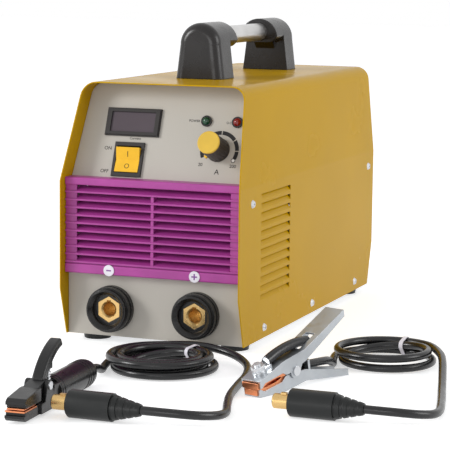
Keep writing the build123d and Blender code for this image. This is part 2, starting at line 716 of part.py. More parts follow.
def knob_cap():
    cap = control_rod(KNOB, KNOB_RADIUS - 0.2, KNOB_HEIGHT - KNOB_CAP, KNOB_HEIGHT)
    top = [e for e in cap.edges() if abs(CONTROL.to_local_coords(e.center()).Z - KNOB_HEIGHT) < 0.01]
    return fillet(top, 1.0)


def lamp_bezel(x):
    place = (x, LAMP_HEIGHT)
    ring = control_rod(place, LAMP_BEZEL, 0, LAMP_PROUD)
    ring += control_rod(place, LAMP_SLEEVE, -PANEL - LAMP_DEPTH, 0)
    return ring - control_rod(place, LAMP_RADIUS, -PANEL - LAMP_DEPTH - 1, LAMP_PROUD + 1)


def lamp(x):
    """Domed lens on its lamp body."""
    place = (x, LAMP_HEIGHT)
    body = control_rod(place, LAMP_RADIUS, -PANEL - LAMP_DEPTH, LAMP_PROUD)
    radius = (LAMP_RADIUS ** 2 + LAMP_DOME ** 2) / (2 * LAMP_DOME)
    ball = CONTROL * Pos(*place, LAMP_PROUD + LAMP_DOME - radius) * Sphere(radius)
    return body + (ball & control_rod(place, LAMP_RADIUS, LAMP_PROUD, LAMP_PROUD + LAMP_DOME + 1))


# ---------------------------------------------------------------- output sockets
def socket_frame(x):
    """Axes of a socket: origin on the panel face, Z out towards the plug."""
    return Plane(origin=(x, FRONT + LOWER_SETBACK, BOTTOM + SOCKET_Z), x_dir=(1, 0, 0), z_dir=(0, -1, 0))


def turned(plane, *steps):
    """A stack of rounds on one axis: each step is (radius, low, high)."""
    rounds = [extrude(plane.offset(low) * Circle(radius), high - low) for radius, low, high in steps]
    return rounds[0].fuse(*rounds[1:]) if len(rounds) > 1 else rounds[0]


def socket_body(x):
    plane = socket_frame(x)
    face = SOCKET_PROUD - SOCKET_RECESS
    body = turned(
        plane,
        (SOCKET_RADIUS, 0, 5.5),
        (SOCKET_RADIUS - 1.6, 5.5, 7.0),
        (SOCKET_RADIUS - 0.5, 7.0, 12.5),
        (SOCKET_RADIUS - 2.2, 12.5, SOCKET_PROUD - 1.0),
        (SOCKET_RADIUS - 3.4, SOCKET_PROUD - 1.0, SOCKET_PROUD),
        (SOCKET_RADIUS - 5, -SOCKET_BACK, 0),
    )
    body -= turned(plane, (SOCKET_THROAT, face, SOCKET_PROUD + 1))
    dish = Cone(SOCKET_THROAT, SOCKET_RADIUS - 4, SOCKET_DISH, align=STANDING)
    body -= plane.offset(SOCKET_PROUD - SOCKET_DISH) * dish
    return body - extrude(plane.offset(-SOCKET_BACK - 1) * hexagon(), face + SOCKET_BACK + 1.01)


def hexagon():
    return Rot(0, 0, 30) * RegularPolygon(HEX_ACROSS / 2, 6, major_radius=False)


def socket_insert(x):
    """Brass hexagon with the keyed bore that a lead plug's pin turns into."""
    plane = socket_frame(x)
    face = SOCKET_PROUD - SOCKET_RECESS
    body = extrude(plane.offset(-SOCKET_BACK) * hexagon(), face + SOCKET_BACK)
    body += turned(plane, (STUD_RADIUS, -SOCKET_BACK - 18, -SOCKET_BACK))
    body -= turned(plane, (PIN_BORE, face - PIN_DEPTH, face + 1))
    body -= plane.offset(face - 1.6) * Cone(PIN_BORE, PIN_BORE + 1.8, 1.8, align=STANDING)
    key = Pos(0, PIN_BORE + KEY_HEIGHT / 2 - 1) * Rectangle(KEY_WIDTH, KEY_HEIGHT + 2)
    return body - extrude(plane.offset(face - 8) * key, 9)


# ---------------------------------------------------------------- handle
def arch(half_foot, half_crown, height):
    """Front view of a handle post: tapered sides under a half-round arch."""
    spring = height - half_crown
    sides = make_face(Polyline((-half_foot, 0), (half_foot, 0), (half_crown, spring),
                               (-half_crown, spring), close=True))
    return sides + Pos(0, spring) * Circle(half_crown)


def handle_post(y_outer, inward):
    """Post and hood from its outer face; inward is +1 or -1 along Y."""
    plane = Plane(origin=(0, y_outer, ROOF), x_dir=(-inward, 0, 0), z_dir=(0, inward, 0))
    face = arch(POST_WIDTH / 2, POST_CROWN / 2, POST_HEIGHT)
    body = extrude(plane * face, POST_DEPTH)
    edge = [e for e in body.edges() if abs(e.center().Y - y_outer) < 0.01 and e.center().Z > ROOF + 1]
    body = fillet(edge, POST_ROUND)
    under = TUBE_HEIGHT - TUBE_RADIUS - HOOD_WALL
    reach = POST_HEIGHT + 2 * HOOD_CORNER - under
    rim = face & Pos(0, under + reach / 2) * RectangleRounded(POST_CROWN, reach, HOOD_CORNER)
    body += extrude(plane.offset(POST_DEPTH - 1) * rim, HOOD_DEPTH - POST_DEPTH + 1)
    inner = POST_DEPTH - 1
    neck = outline((inner, under + 1), (inner, under - NECK_RUN), (POST_DEPTH, under - NECK_RUN),
                   (POST_DEPTH + NECK_RUN, under), (POST_DEPTH + NECK_RUN, under + 1))
    half = POST_CROWN / 2 - HOOD_CORNER
    side = Plane(origin=(-inward * half, y_outer, ROOF), x_dir=(0, inward, 0), z_dir=(inward, 0, 0))
    body += extrude(side * neck, 2 * half)
    z = ROOF + TUBE_HEIGHT
    start = y_outer + inward * (HOOD_DEPTH - TUBE_SOCKET)
    body -= rod((0, start, z), (0, y_outer + inward * (HOOD_DEPTH + 1), z), TUBE_RADIUS)
    for x, y in post_bolts():
        if abs(y - y_outer) < HOOD_DEPTH:
            body -= rod((x, y, ROOF), (x, y, ROOF + BOLT_LENGTH), BOLT_RADIUS)
    return body


def handle_tube():
    z = ROOF + TUBE_HEIGHT
    start = FRONT + HANDLE_START + HOOD_DEPTH - TUBE_SOCKET
    end = FRONT + HANDLE_START + HANDLE_SPAN - HOOD_DEPTH + TUBE_SOCKET
    tube = rod((0, start, z), (0, end, z), TUBE_RADIUS)
    return tube - rod((0, start, z), (0, end, z), TUBE_RADIUS - TUBE_WALL)


def handle_bolt(x, y):
    """Bolt up through the roof into a post, its head under the sheet."""
    seat = ROOF - SHEET
    bolt = rod((x, y, seat - 4), (x, y, seat), BOLT_HEAD)
    return bolt + rod((x, y, seat), (x, y, ROOF + BOLT_LENGTH - 1), BOLT_RADIUS)


# ---------------------------------------------------------------- fan and rear
def fan_corners():
    reach = FAN_SIZE / 2 - 7.5
    axis = BOTTOM + FAN_HEIGHT
    return [(x, axis + z) for z in (-reach, reach) for x in (-reach, reach)]


def fan_back():
    return REAR - REAR_SETBACK - SHEET


def fan_frame():
    """Square frame with a round duct, a motor seat on three struts and a bearing for the rotor."""
    back = fan_back()
    axis = BOTTOM + FAN_HEIGHT
    half = FAN_SIZE / 2
    body = block((-half, half), (back - FAN_DEPTH, back), (axis - half, axis + half))
    body -= rod((0, back - FAN_DEPTH - 1, axis), (0, back + 1, axis), FAN_BORE)
    seat = rod((0, back - 5, axis), (0, back, axis), FAN_HUB)
    plane = Plane(origin=(0, back, axis), x_dir=(1, 0, 0), z_dir=(0, -1, 0))
    for turn in (30, 150, 270):
        arm = Rot(0, 0, turn) * Pos(FAN_BORE / 2 + 2, 0) * Rectangle(FAN_BORE + 6, 6)
        seat += extrude(plane * arm, 4)
    body += seat
    body -= rod((0, back - 6, axis), (0, back - 1, axis), FAN_SHAFT + PIN_GAP)
    for x, z in fan_corners():
        body -= rod((x, back - FAN_DEPTH - 1, z), (x, back + 1, z), SCREW_SHANK + PIN_GAP)
    return body


def fan_rotor():
    back = fan_back()
    axis = BOTTOM + FAN_HEIGHT
    hub = rod((0, back - FAN_DEPTH + 3, axis), (0, back - 6, axis), FAN_HUB)
    plane = Plane(origin=(0, back - FAN_DEPTH / 2, axis), x_dir=(1, 0, 0), z_dir=(0, -1, 0))
    depth = FAN_DEPTH - 14
    reach = BLADE_TIP - FAN_HUB + 3
    for blade in range(FAN_BLADES):
        leaf = Pos(FAN_HUB - 3 + reach / 2, 0, 0) * Rot(BLADE_PITCH, 0, 0) * Box(reach, 2.0, depth)
        hub += plane * Rot(0, 0, blade * 360 / FAN_BLADES) * leaf
    hub &= rod((0, back - FAN_DEPTH, axis), (0, back, axis), BLADE_TIP)
    return hub + rod((0, back - 6, axis), (0, back - 1.5, axis), FAN_SHAFT)


def fan_guard():
    """Round-wire guard: rings on four spokes, with lugs at the fan's corners."""
    face = REAR - REAR_SETBACK
    axis = BOTTOM + FAN_HEIGHT
    plane = Plane(origin=(0, face, axis), x_dir=(-1, 0, 0), z_dir=(0, 1, 0))
    wire = 2 * GUARD_WIRE
    rings = []
    for ring in range(GUARD_RINGS):
        radius = FAN_BORE - ring * FAN_BORE / GUARD_RINGS
        band = Circle(radius + GUARD_WIRE) - Circle(radius - GUARD_WIRE)
        rings.append(extrude(plane.offset(wire) * band, wire))
    corner_x, corner_z = fan_corners()[3]
    spoke_length = hypot(corner_x, corner_z - axis)
    spokes = []
    for turn in (45, 135, 225, 315):
        bar = Rot(0, 0, turn) * Pos(spoke_length / 2) * Rectangle(spoke_length, wire)
        lug = Rot(0, 0, turn) * Pos(spoke_length) * (Circle(5) - Circle(SCREW_SHANK + PIN_GAP))
        hole = Rot(0, 0, turn) * Pos(spoke_length) * Circle(SCREW_SHANK + PIN_GAP)
        spokes.append(extrude(plane * (bar + lug - hole), wire))
    return rings[0].fuse(*rings[1:], *spokes)


def mains_gland():
    """Nylon cable gland: hexagon, domed nut and threaded neck with its lock nut inside."""
    x, height = GLAND_PLACE
    face = REAR - REAR_SETBACK
    plane = Plane(origin=(x, face, BOTTOM + height), x_dir=(1, 0, 0), z_dir=(0, 1, 0))
    body = extrude(plane * RegularPolygon(GLAND_RADIUS, 6, major_radius=False), 6)
    body += turned(plane, (GLAND_RADIUS - 1.5, 6, 8), (GLAND_RADIUS - 3, -SHEET - 10, 0))
    body += plane.offset(8) * Cone(GLAND_RADIUS - 0.8, GLAND_BORE + 2.2, GLAND_PROUD - 8, align=STANDING)
    body += extrude(plane.offset(-SHEET - 5) * RegularPolygon(GLAND_RADIUS, 6, major_radius=False), 5)
    return body - turned(plane, (GLAND_BORE, -SHEET - 11, GLAND_PROUD + 1))


# ---------------------------------------------------------------- power electronics
TRAY_TOP = BOTTOM + SHEET
BOARD_Y = FRONT + BOARD_START + BOARD[1] / 2
SINK_Y = (BOARD_Y - HEATSINK[1] / 2, BOARD_Y + HEATSINK[1] / 2)
BOARD_Z = TRAY_TOP + HEATSINK[2]


def heatsink():
    """Finned block on the tray that carries the power board."""
    x = HEATSINK[0] / 2
    body = block((-x, x), SINK_Y, (TRAY_TOP, TRAY_TOP + HEATSINK_BASE))
    step = (HEATSINK[0] - FIN_WEB) / (HEATSINK_FINS - 1)
    webs = []
    for fin in range(HEATSINK_FINS):
        left = -x + fin * step
        webs.append(block((left, left + FIN_WEB), SINK_Y, (TRAY_TOP + HEATSINK_BASE, BOARD_Z)))
    return body.fuse(*webs)


def power_board():
    x, y = BOARD[0] / 2, BOARD[1] / 2
    return block((-x, x), (BOARD_Y - y, BOARD_Y + y), (BOARD_Z, BOARD_Z + BOARD[2]))


def capacitors():
    top = BOARD_Z + BOARD[2]
    made = []
    middle = Pos(CAPACITORS[0], BOARD_Y + CAPACITORS[1], top)
    for place in GridLocations(CAPACITOR_PITCH, CAPACITOR_PITCH, 2, 2):
        can = middle * place * Cylinder(CAPACITOR_RADIUS, CAPACITOR_HEIGHT, align=STANDING)
        made.append(fillet(can.edges().group_by(Axis.Z)[-1], CAPACITOR_RADIUS / 10))
    return made


def transformer_core():
    """Ferrite core of two E halves, lying on the board."""
    top = BOARD_Z + BOARD[2]
    x, y, z = CORE
    centre_x, centre_y = TRANSFORMER[0], BOARD_Y + TRANSFORMER[1]
    body = block((centre_x - x / 2, centre_x + x / 2), (centre_y - y / 2, centre_y + y / 2), (top, top + z))
    limb = CORE_LIMB / 2
    for side in (-1, 1):
        near = centre_x + side * limb
        far = centre_x + side * (x / 2 - CORE_LIMB * 0.7)
        y_window = (centre_y - y / 2 + CORE_LIMB, centre_y + y / 2 - CORE_LIMB)
        body -= block(sorted((near, far)), y_window, (top - 1, top + z + 1))
    return body


def transformer_winding():
    """Winding sleeve round the middle limb, inside the core's windows."""
    top = BOARD_Z + BOARD[2]
    x, y, z = CORE
    centre_x, centre_y = TRANSFORMER[0], BOARD_Y + TRANSFORMER[1]
    room = x / 2 - CORE_LIMB * 0.7 - CORE_LIMB / 2 - 2 * WINDING_GAP
    inner = CORE_LIMB / 2 + WINDING_GAP
    outer = inner + min(WINDING_WALL, room)
    depth = y / 2 - CORE_LIMB - WINDING_GAP
    sleeve = block((centre_x - outer, centre_x + outer), (centre_y - depth, centre_y + depth),
                   (top, top + z + 6))
    return sleeve - block((centre_x - inner, centre_x + inner), (centre_y - depth - 1, centre_y + depth + 1),
                          (top - 1, top + z + WINDING_GAP))


def busbar(x):
    """Copper bar from a socket's stud up to the power board."""
    y = FRONT + LOWER_SETBACK + SOCKET_BACK
    z = BOTTOM + SOCKET_Z
    width = BUSBAR[0]
    face = (y, y + BUSBAR[1])
    top = BOARD_Z + BOARD[2]
    board_edge = FRONT + BOARD_START
    bar = block((x - width / 2, x + width / 2), face, (z - width / 2, top + BUSBAR[1]))
    bar += block((x - width / 2, x + width / 2), (y, board_edge + BUSBAR_LAP), (top, top + BUSBAR[1]))
    return bar - rod((x, y - 1, z), (x, y + BUSBAR[1] + 1, z), STUD_RADIUS + PIN_GAP)


# ---------------------------------------------------------------- tubes along a route
def biarc(start, start_way, end, end_way):
    """Two tangent arcs from one point and direction to another."""
    gap = end - start
    ways = start_way + end_way
    spread = 2 * (1 - start_way.dot(end_way))
    along = gap.dot(ways)
    reach = (sqrt(along * along + spread * gap.dot(gap)) - along) / spread
    near = start + start_way * reach
    far = end - end_way * reach
    joint = (near + far) * 0.5
    return [TangentArc(start, joint, tangent=start_way), TangentArc(joint, end, tangent=far - near)]


def wound_wire(place, steps, lead):
    """Path through place(0)..place(steps) on biarcs, with a straight lead at each end."""
    nudge = 1e-4
    points = [place(step) for step in range(steps + 1)]
    ways = []
    for step in range(steps + 1):
        low = max(step - nudge, 0)
        high = min(step + nudge, steps)
        ways.append((place(high) - place(low)).normalized())
    ways[0] = Vector(ways[0].X, ways[0].Y, 0).normalized()
    ways[-1] = Vector(ways[-1].X, ways[-1].Y, 0).normalized()
    edges = []
    if lead:
        edges.append(Line(points[0] - ways[0] * lead, points[0]))
    for step in range(steps):
        edges += biarc(points[step], ways[step], points[step + 1], ways[step + 1])
    if lead:
        edges.append(Line(points[-1], points[-1] + ways[-1] * lead))
    return Wire(edges)


def tube(path, radius):
    start = Plane(origin=path @ 0, z_dir=path % 0)
    return sweep(start * Circle(radius), path=path)


def report_gap(name, path, radius, turn_length):
    """Least gap of a wound tube to itself, from points along its path."""
    count = ceil(path.length / 2.5)
    points = [path.position_at(i / count) for i in range(count + 1)]
    skip = ceil(turn_length / 2 / 2.5)
    gaps = [(a - b).length for i, a in enumerate(points) for b in points[i + skip:]]
    print(f"{name}: length {path.length:.1f}, least gap {min(gaps) - 2 * radius:.2f}")


def coil_place(coil, quarters):
    """Point of a piled coil after so many quarter turns: in, up a layer, and out again."""
    x, y, radius = coil
    turns_in = quarters[0]
    inside = radius - COIL_PITCH * turns_in / 4

    def place(quarter):
        angle = radians(COIL_START - 90 * quarter)
        if quarter <= turns_in:
            reach = radius - COIL_PITCH * quarter / 4
            height = COIL_BASE
        elif quarter <= turns_in + 2:
            reach = inside
            height = COIL_BASE + LAYER_PITCH * (1 - cos(radians(90 * (quarter - turns_in)))) / 2
        else:
            reach = inside + COIL_PITCH * (quarter - turns_in - 2) / 4
            height = COIL_TOP
        return Vector(x + reach * cos(angle), y + reach * sin(angle), height)

    return place


def coil_wire(coil, quarters):
    return wound_wire(coil_place(coil, quarters), sum(quarters) + 2, CABLE)


def coil_tie(coil, quarters, angle):
    """Band drawn round every cable that passes one side of a coil."""
    place = coil_place(coil, quarters)
    middle = Vector(coil[0], coil[1], 0)
    way = Vector(cos(radians(angle)), sin(radians(angle)), 0)
    quarter = (COIL_START - angle) / 90
    spots = []
    while quarter < sum(quarters) + 2:
        point = place(quarter) - middle
        spots.append(Pos(point.dot(way), point.Z))
        quarter += 4
    outlines = []
    for radius in (CABLE_RADIUS + TIE_GAP + TIE, CABLE_RADIUS + TIE_GAP):
        rims = [(spot * Circle(radius)).edge() for spot in spots]
        outlines.append(make_hull(rims))
    plane = Plane(origin=middle, x_dir=way, z_dir=way.cross(Vector(0, 0, 1)))
    band = extrude(plane * outlines[0], TIE_WIDTH / 2, both=True)
    return band - extrude(plane * outlines[1], TIE_WIDTH, both=True)


def corner_radius(before, corner, after):
    """Arc for a corner of a route: 0.45 of the shorter run taken up by each half of it."""
    first = Vector(*corner) - Vector(*before)
    second = Vector(*after) - Vector(*corner)
    half_turn = radians(first.get_angle(second)) / 2
    return 0.45 * min(first.length, second.length) / tan(half_turn)


def run_cable(name, points):
    """Free stretch of cable: straight runs joined by arcs as large as the runs allow."""
    radii = [corner_radius(*corner) for corner in zip(points, points[1:], points[2:])]
    path = FilletPolyline(*points, radius=radii).wire()
    solid = tube(path, CABLE_RADIUS)
    straight = path.length * PI * CABLE_RADIUS ** 2
    print(f"{name}: length {path.length:.1f}, radii", [round(r) for r in radii],
          f"volume ratio {solid.volume / straight:.4f}")
    return solid


# ---------------------------------------------------------------- lead plugs
def plug_frame(place):
    """Axes of a plug on the floor: origin at the pin's tip, Z along it to the boot."""
    return Plane(origin=(place[0], place[1], PLUG_RADIUS), x_dir=(0, 1, 0), z_dir=(1, 0, 0))


def plug_sleeve(place):
    """Rubber sleeve with a flat front and a ribbed, tapering boot."""
    plane = plug_frame(place)
    front = PLUG_PIN_LENGTH
    neck = front + PLUG_BODY
    body = turned(plane, (PLUG_RADIUS - 1.2, front, front + 1.2), (PLUG_RADIUS, front + 1.2, neck))
    boot = PLUG_LENGTH - neck
    body += plane.offset(neck) * Cone(PLUG_RADIUS - 2.2, BOOT_RADIUS - 0.8, boot, align=STANDING)
    pitch = boot / BOOT_RIBS
    for rib in range(BOOT_RIBS):
        start = neck + rib * pitch + pitch * 0.3
        share = (start - neck) / boot
        radius = PLUG_RADIUS - 0.8 - share * (PLUG_RADIUS - BOOT_RADIUS - 0.2)
        body += plane.offset(start) * Cone(radius, radius - 0.9, pitch * 0.55, align=STANDING)
    return body - turned(plane, (PIN_SHANK + SHANK_GAP, front - 1, front + PIN_SHANK_LENGTH))


def plug_pin(place):
    """Brass pin, slotted at its tip, with the key that locks it in a socket."""
    plane = plug_frame(place)
    radius = PIN_BORE - PLUG_PIN_FIT
    shank = (PIN_SHANK, PLUG_PIN_LENGTH, PLUG_PIN_LENGTH + PIN_SHANK_LENGTH)
    body = turned(plane, (radius, 1, PLUG_PIN_LENGTH), shank)
    body += plane * Cone(radius - 1, radius, 1, align=STANDING)
    body -= extrude(plane.offset(-1) * Rectangle(2.2, 2 * radius + 1), PLUG_PIN_LENGTH * 0.6)
    key = Pos(0, radius + KEY_HEIGHT / 2 - 1.2) * Rectangle(KEY_WIDTH - 0.6, KEY_HEIGHT)
    return body + extrude(plane.offset(PLUG_PIN_LENGTH - 8) * key, 5)


# ---------------------------------------------------------------- electrode holder
def lead_tool_frame(place, height, tilt=0.0):
    """Side-view plane of a lead's tool: X along it, Y up, Z across it."""
    x, y, heading = place
    way = Vector(cos(radians(heading)), sin(radians(heading)), 0)
    along = way * cos(radians(tilt)) + Vector(0, 0, sin(radians(tilt)))
    return Plane(origin=(x, y, height), x_dir=along, z_dir=way.cross(Vector(0, 0, 1)))


HOLDER = lead_tool_frame(HOLDER_PLACE, HOLDER_RADIUS + FLOOR_GAP)


def across(plane, sketch, half):
    """A side-view sketch drawn out equally to both sides."""
    return extrude(plane * sketch, half, both=True)


def holder_body():
    """Insulated grip with rings, boxed head with cheeks for the lever, and the fixed lower jaw."""
    axis = Plane(origin=HOLDER.origin, z_dir=HOLDER.x_dir)
    grip = outline((0, 0), *GRIP_END, (GRIP_RADIUS, HOLDER_GRIP), (0, HOLDER_GRIP))
    body = axis * revolve(Plane.XZ * grip, Axis.Z)
    for station in GRIP_RINGS:
        body += axis.offset(station) * Cylinder(HOLDER_RADIUS, RING_WIDTH, align=STANDING)
    pivot, height = HOLDER_PIVOT
    shoulder = pivot - 2 * HOLDER_HUB
    head = outline((HEAD_START, -HEAD_FLOOR), (JAW_START, -HEAD_FLOOR), (JAW_START, JAW_TOP),
                   (pivot + HOLDER_HUB + 1, JAW_TOP), (pivot + HOLDER_HUB / 2, HEAD_WELL),
                   (shoulder + 1.5, HEAD_WELL), (shoulder, HEAD_TOP), (HEAD_START, HEAD_TOP))
    body += across(HOLDER, head, HOLDER_HEAD)
    cheek = outline((shoulder, 0), (pivot + 2 * HOLDER_HUB, 2 * JAW_TOP),
                    (pivot + HOLDER_HUB - 0.5, height + HOLDER_HUB / 2),
                    (pivot - HOLDER_HUB + 0.5, height + HOLDER_HUB / 2))
    cheek += Pos(pivot, height) * Circle(HOLDER_HUB)
    for middle in (-1, 1):
        body += across(HOLDER.offset(middle * (HOLDER_HEAD - CHEEK / 2)), cheek, CHEEK / 2)
    heel = JAW_START - HOLDER_HUB
    chamfer = JAW_NOTCH
    jaw = outline((heel, -HEAD_FLOOR), (HOLDER_LENGTH - chamfer, -HEAD_FLOOR),
                  (HOLDER_LENGTH, chamfer - HEAD_FLOOR), (HOLDER_LENGTH, JAW_TOP), (heel, JAW_TOP))
    body += across(HOLDER, jaw, JAW_WIDTH / 2)
    foot = HOLDER_LENGTH - CONTACT_LENGTH
    seat = outline((foot, JAW_TOP - CONTACT), (HOLDER_LENGTH + 1, JAW_TOP - CONTACT),
                   (HOLDER_LENGTH + 1, JAW_TOP + 1), (foot, JAW_TOP + 1))
    body -= across(HOLDER, seat, JAW_WIDTH)
    notch = Pos(HOLDER_LENGTH, JAW_TOP - CONTACT - JAW_NOTCH / 2) * Rectangle(2 * JAW_NOTCH, JAW_NOTCH)
    body -= across(HOLDER, notch, JAW_WIDTH)
    return body - across(HOLDER, Pos(pivot, height) * Circle(HOLDER_PIN + PIN_GAP), 2 * HOLDER_HEAD)


def holder_contact():
    """Copper strip let into the lower jaw."""
    tip = HOLDER_LENGTH - 0.5
    foot = HOLDER_LENGTH - CONTACT_LENGTH
    strip = outline((foot, JAW_TOP - CONTACT), (tip, JAW_TOP - CONTACT), (tip, JAW_TOP), (foot, JAW_TOP))
    return across(HOLDER, strip, JAW_WIDTH / 2)


def spring_top():
    return HEAD_TOP + SPRING_GAP + SPRING_HEIGHT + SPRING_GAP


def holder_lever():
    """Upper jaw, hub and the thumb bar that curves up and back over the grip."""
    pivot, height = HOLDER_PIVOT
    floor = JAW_TOP + CONTACT_GAP + CONTACT
    tip = HOLDER_LENGTH - 2
    lip = (floor + NOSE_HEIGHT / 2, floor + NOSE_HEIGHT * 0.7)
    bevel = tip - NOSE_HEIGHT * 0.3
    crown = floor + NOSE_HEIGHT
    jaw = outline((JAW_START - HOLDER_HUB, floor), (tip, floor), (tip, lip[0]), (bevel, lip[1]),
                  (JAW_START, crown), (pivot, height + HOLDER_HUB), (pivot - 3.5, height + 1.7),
                  (pivot, height - HOLDER_HUB))
    body = across(HOLDER, jaw + Pos(pivot, height) * Circle(HOLDER_HUB), HOLDER_HEAD - CHEEK - SIDE_GAP)
    nose = outline((JAW_START - 3.5, floor), (tip, floor), (tip, lip[0]), (bevel, lip[1]),
                   (JAW_START + 1.7, crown), (JAW_START - 3.5, crown))
    body += across(HOLDER, nose, JAW_WIDTH / 2)
    notch = Pos(tip, floor + JAW_NOTCH / 2) * Rectangle(2 * JAW_NOTCH, JAW_NOTCH)
    body -= across(HOLDER, notch, JAW_WIDTH)
    x, y = THUMB_TIP
    outer = [(pivot + 3.5, height + 4.4), (pivot - 10.4, height + 20.0), (x + 2.6, y + 3.5)]
    inner = [(x - 1.7, y - 3.5), (pivot - 16.5, height + 14.0), (pivot - 5.2, height - 0.9)]
    bar = make_face([ThreePointArc(*outer), Line(outer[-1], inner[0]), ThreePointArc(*inner),
                     Line(inner[-1], outer[0])])
    thumb = across(HOLDER, bar, THUMB_WIDTH / 2)
    body += fillet(thumb.edges(), THUMB_ROUND)
    left, right = SPRING_BOSS
    low = spring_top()
    boss = outline((left, low), (right, low), (right, low + 2.6), (left, low + 10.4))
    body += across(HOLDER, boss, SPRING_RADIUS + SPRING_WIRE)
    return body - across(HOLDER, Pos(pivot, height) * Circle(HOLDER_PIN + PIN_GAP), HOLDER_HEAD)


def lever_contact():
    low = JAW_TOP + CONTACT_GAP
    tip = HOLDER_LENGTH - 2.5
    foot = HOLDER_LENGTH - CONTACT_LENGTH
    strip = outline((foot, low), (tip, low), (tip, low + CONTACT), (foot, low + CONTACT))
    return across(HOLDER, strip, JAW_WIDTH / 2 - 1)


def holder_pin():
    pivot = Pos(*HOLDER_PIVOT)
    body = across(HOLDER, pivot * Circle(HOLDER_PIN), HOLDER_HEAD + 0.8)
    for edge in (HOLDER_HEAD, -HOLDER_HEAD - 1.2):
        body += extrude(HOLDER.offset(edge) * pivot * Circle(HOLDER_PIN + 1.4), 1.2)
    return body


def holder_spring():
    """Compression spring between the head and the thumb bar."""
    foot = HOLDER.from_local_coords(Vector(SPRING_STATION, HEAD_TOP + SPRING_GAP + SPRING_WIRE, 0))
    rise = (SPRING_HEIGHT - 2 * SPRING_WIRE) / (4 * SPRING_TURNS)

    def place(quarter):
        angle = radians(90 * quarter)
        return foot + Vector(SPRING_RADIUS * cos(angle), SPRING_RADIUS * sin(angle), rise * quarter)

    path = wound_wire(place, 4 * SPRING_TURNS, 0)
    report_gap("holder spring", path, SPRING_WIRE, 2 * PI * SPRING_RADIUS)
    return tube(path, SPRING_WIRE)


# ---------------------------------------------------------------- earth clamp
REST_HEEL = Vector(*CLAMP_BACK[1])
REST_RUN = Vector(*CLAMP_BACK[3]) - REST_HEEL
CLAMP_TILT = atan2(REST_RUN.Y, REST_RUN.X)
CLAMP_REST = REST_HEEL.Y * cos(CLAMP_TILT) - REST_HEEL.X * sin(CLAMP_TILT) + FLOOR_GAP
CLAMP = lead_tool_frame(CLAMP_PLACE, CLAMP_REST, degrees(CLAMP_TILT))


def clamp_arm(flip, half):
    """Pressed channel arm: back, two flanges, pivot ears and a plain handle."""
    width, height = EAR_NECK
    ear = Pos(CLAMP_PIVOT, 0) * Circle(EAR_RADIUS)
    neck = outline((CLAMP_PIVOT - EAR_RADIUS, 0), (CLAMP_PIVOT + EAR_RADIUS, 0),
                   (CLAMP_PIVOT + width, height), (CLAMP_PIVOT - width, height))
    side = outline(*CLAMP_BACK, *CLAMP_RIM) + ear + neck
    inside = [(station, back - CLAMP_SHEET) for station, back in CLAMP_BACK]
    inside[0] = (-1, inside[0][1])
    inside[-1] = (CLAMP_LENGTH + 1, inside[-1][1])
    hollow = outline(*inside, (CLAMP_LENGTH + 1, -CLAMP_LENGTH), (-1, -CLAMP_LENGTH))
    body = across(CLAMP, flip * side, half)
    body -= across(CLAMP, flip * hollow, half - CLAMP_SHEET)
    pin = Pos(CLAMP_PIVOT, 0) * Circle(CLAMP_PIN + PIN_GAP)
    return body - across(CLAMP, pin, half + 1)


def clamp_upper_arm():
    """Upper arm, slotted where the cable sleeve runs in under the handle."""
    left, right = SLEEVE_SLOT
    slot = outline((left, 0), (right, 0), (right, CLAMP_LENGTH), (left, CLAMP_LENGTH))
    return clamp_arm(Pos(0, 0), UPPER_WIDTH / 2) - across(CLAMP, slot, SLEEVE + SLEEVE_GAP)


def clamp_lower_arm():
    """Lower arm with the upright plate that grips the cable."""
    half = lower_half()
    body = clamp_arm(Rot(180, 0, 0), half)
    left, right = GRIP_STATION, GRIP_STATION + GRIP_PLATE
    low, high = GRIP_SPAN
    plate = outline((left, low), (right, low), (right, high), (left, high))
    body += across(CLAMP, plate, half - CLAMP_SHEET / 2)
    start, after = Vector(*PLUS_START[0]), Vector(*PLUS_START[1])
    return body - rod(start - (after - start) * 0.2, after, CABLE_RADIUS + PIN_GAP)


def lower_half():
    return UPPER_WIDTH / 2 - CLAMP_SHEET - SIDE_GAP


def clamp_contact(sign, half):
    """Copper jaw strip inside an arm's tip, above (+1) or below (-1) the jaw line."""
    strip = outline(*[(station, sign * height) for station, height in JAW_STRIP])
    return across(CLAMP, strip, half - CLAMP_SHEET - PIN_GAP)


def clamp_pivot():
    pin = Pos(CLAMP_PIVOT, 0) * Circle(CLAMP_PIN)
    head = Pos(CLAMP_PIVOT, 0) * Circle(CLAMP_PIN + 2)
    edge = UPPER_WIDTH / 2
    body = across(CLAMP, pin, edge + 0.8)
    body += extrude(CLAMP.offset(edge) * head, 1.4)
    return body + extrude(CLAMP.offset(-edge - 1.4) * head, 1.4)


def clamp_spring():
    """Torsion spring round the pivot, its legs lying in the two handles."""
    room = 2 * (lower_half() - CLAMP_SHEET - SIDE_GAP - TORSION_WIRE)
    rise = room / (4 * TORSION_TURNS)

    def place(quarter):
        angle = radians(90 * quarter - 90)
        return CLAMP.from_local_coords(Vector(CLAMP_PIVOT + TORSION_RADIUS * cos(angle),
                                              TORSION_RADIUS * sin(angle), rise * quarter - room / 2))

    steps = 4 * TORSION_TURNS
    path = wound_wire(place, steps, 0)
    report_gap("clamp spring", path, TORSION_WIRE, 2 * PI * TORSION_RADIUS)
    return tube(path, TORSION_WIRE)


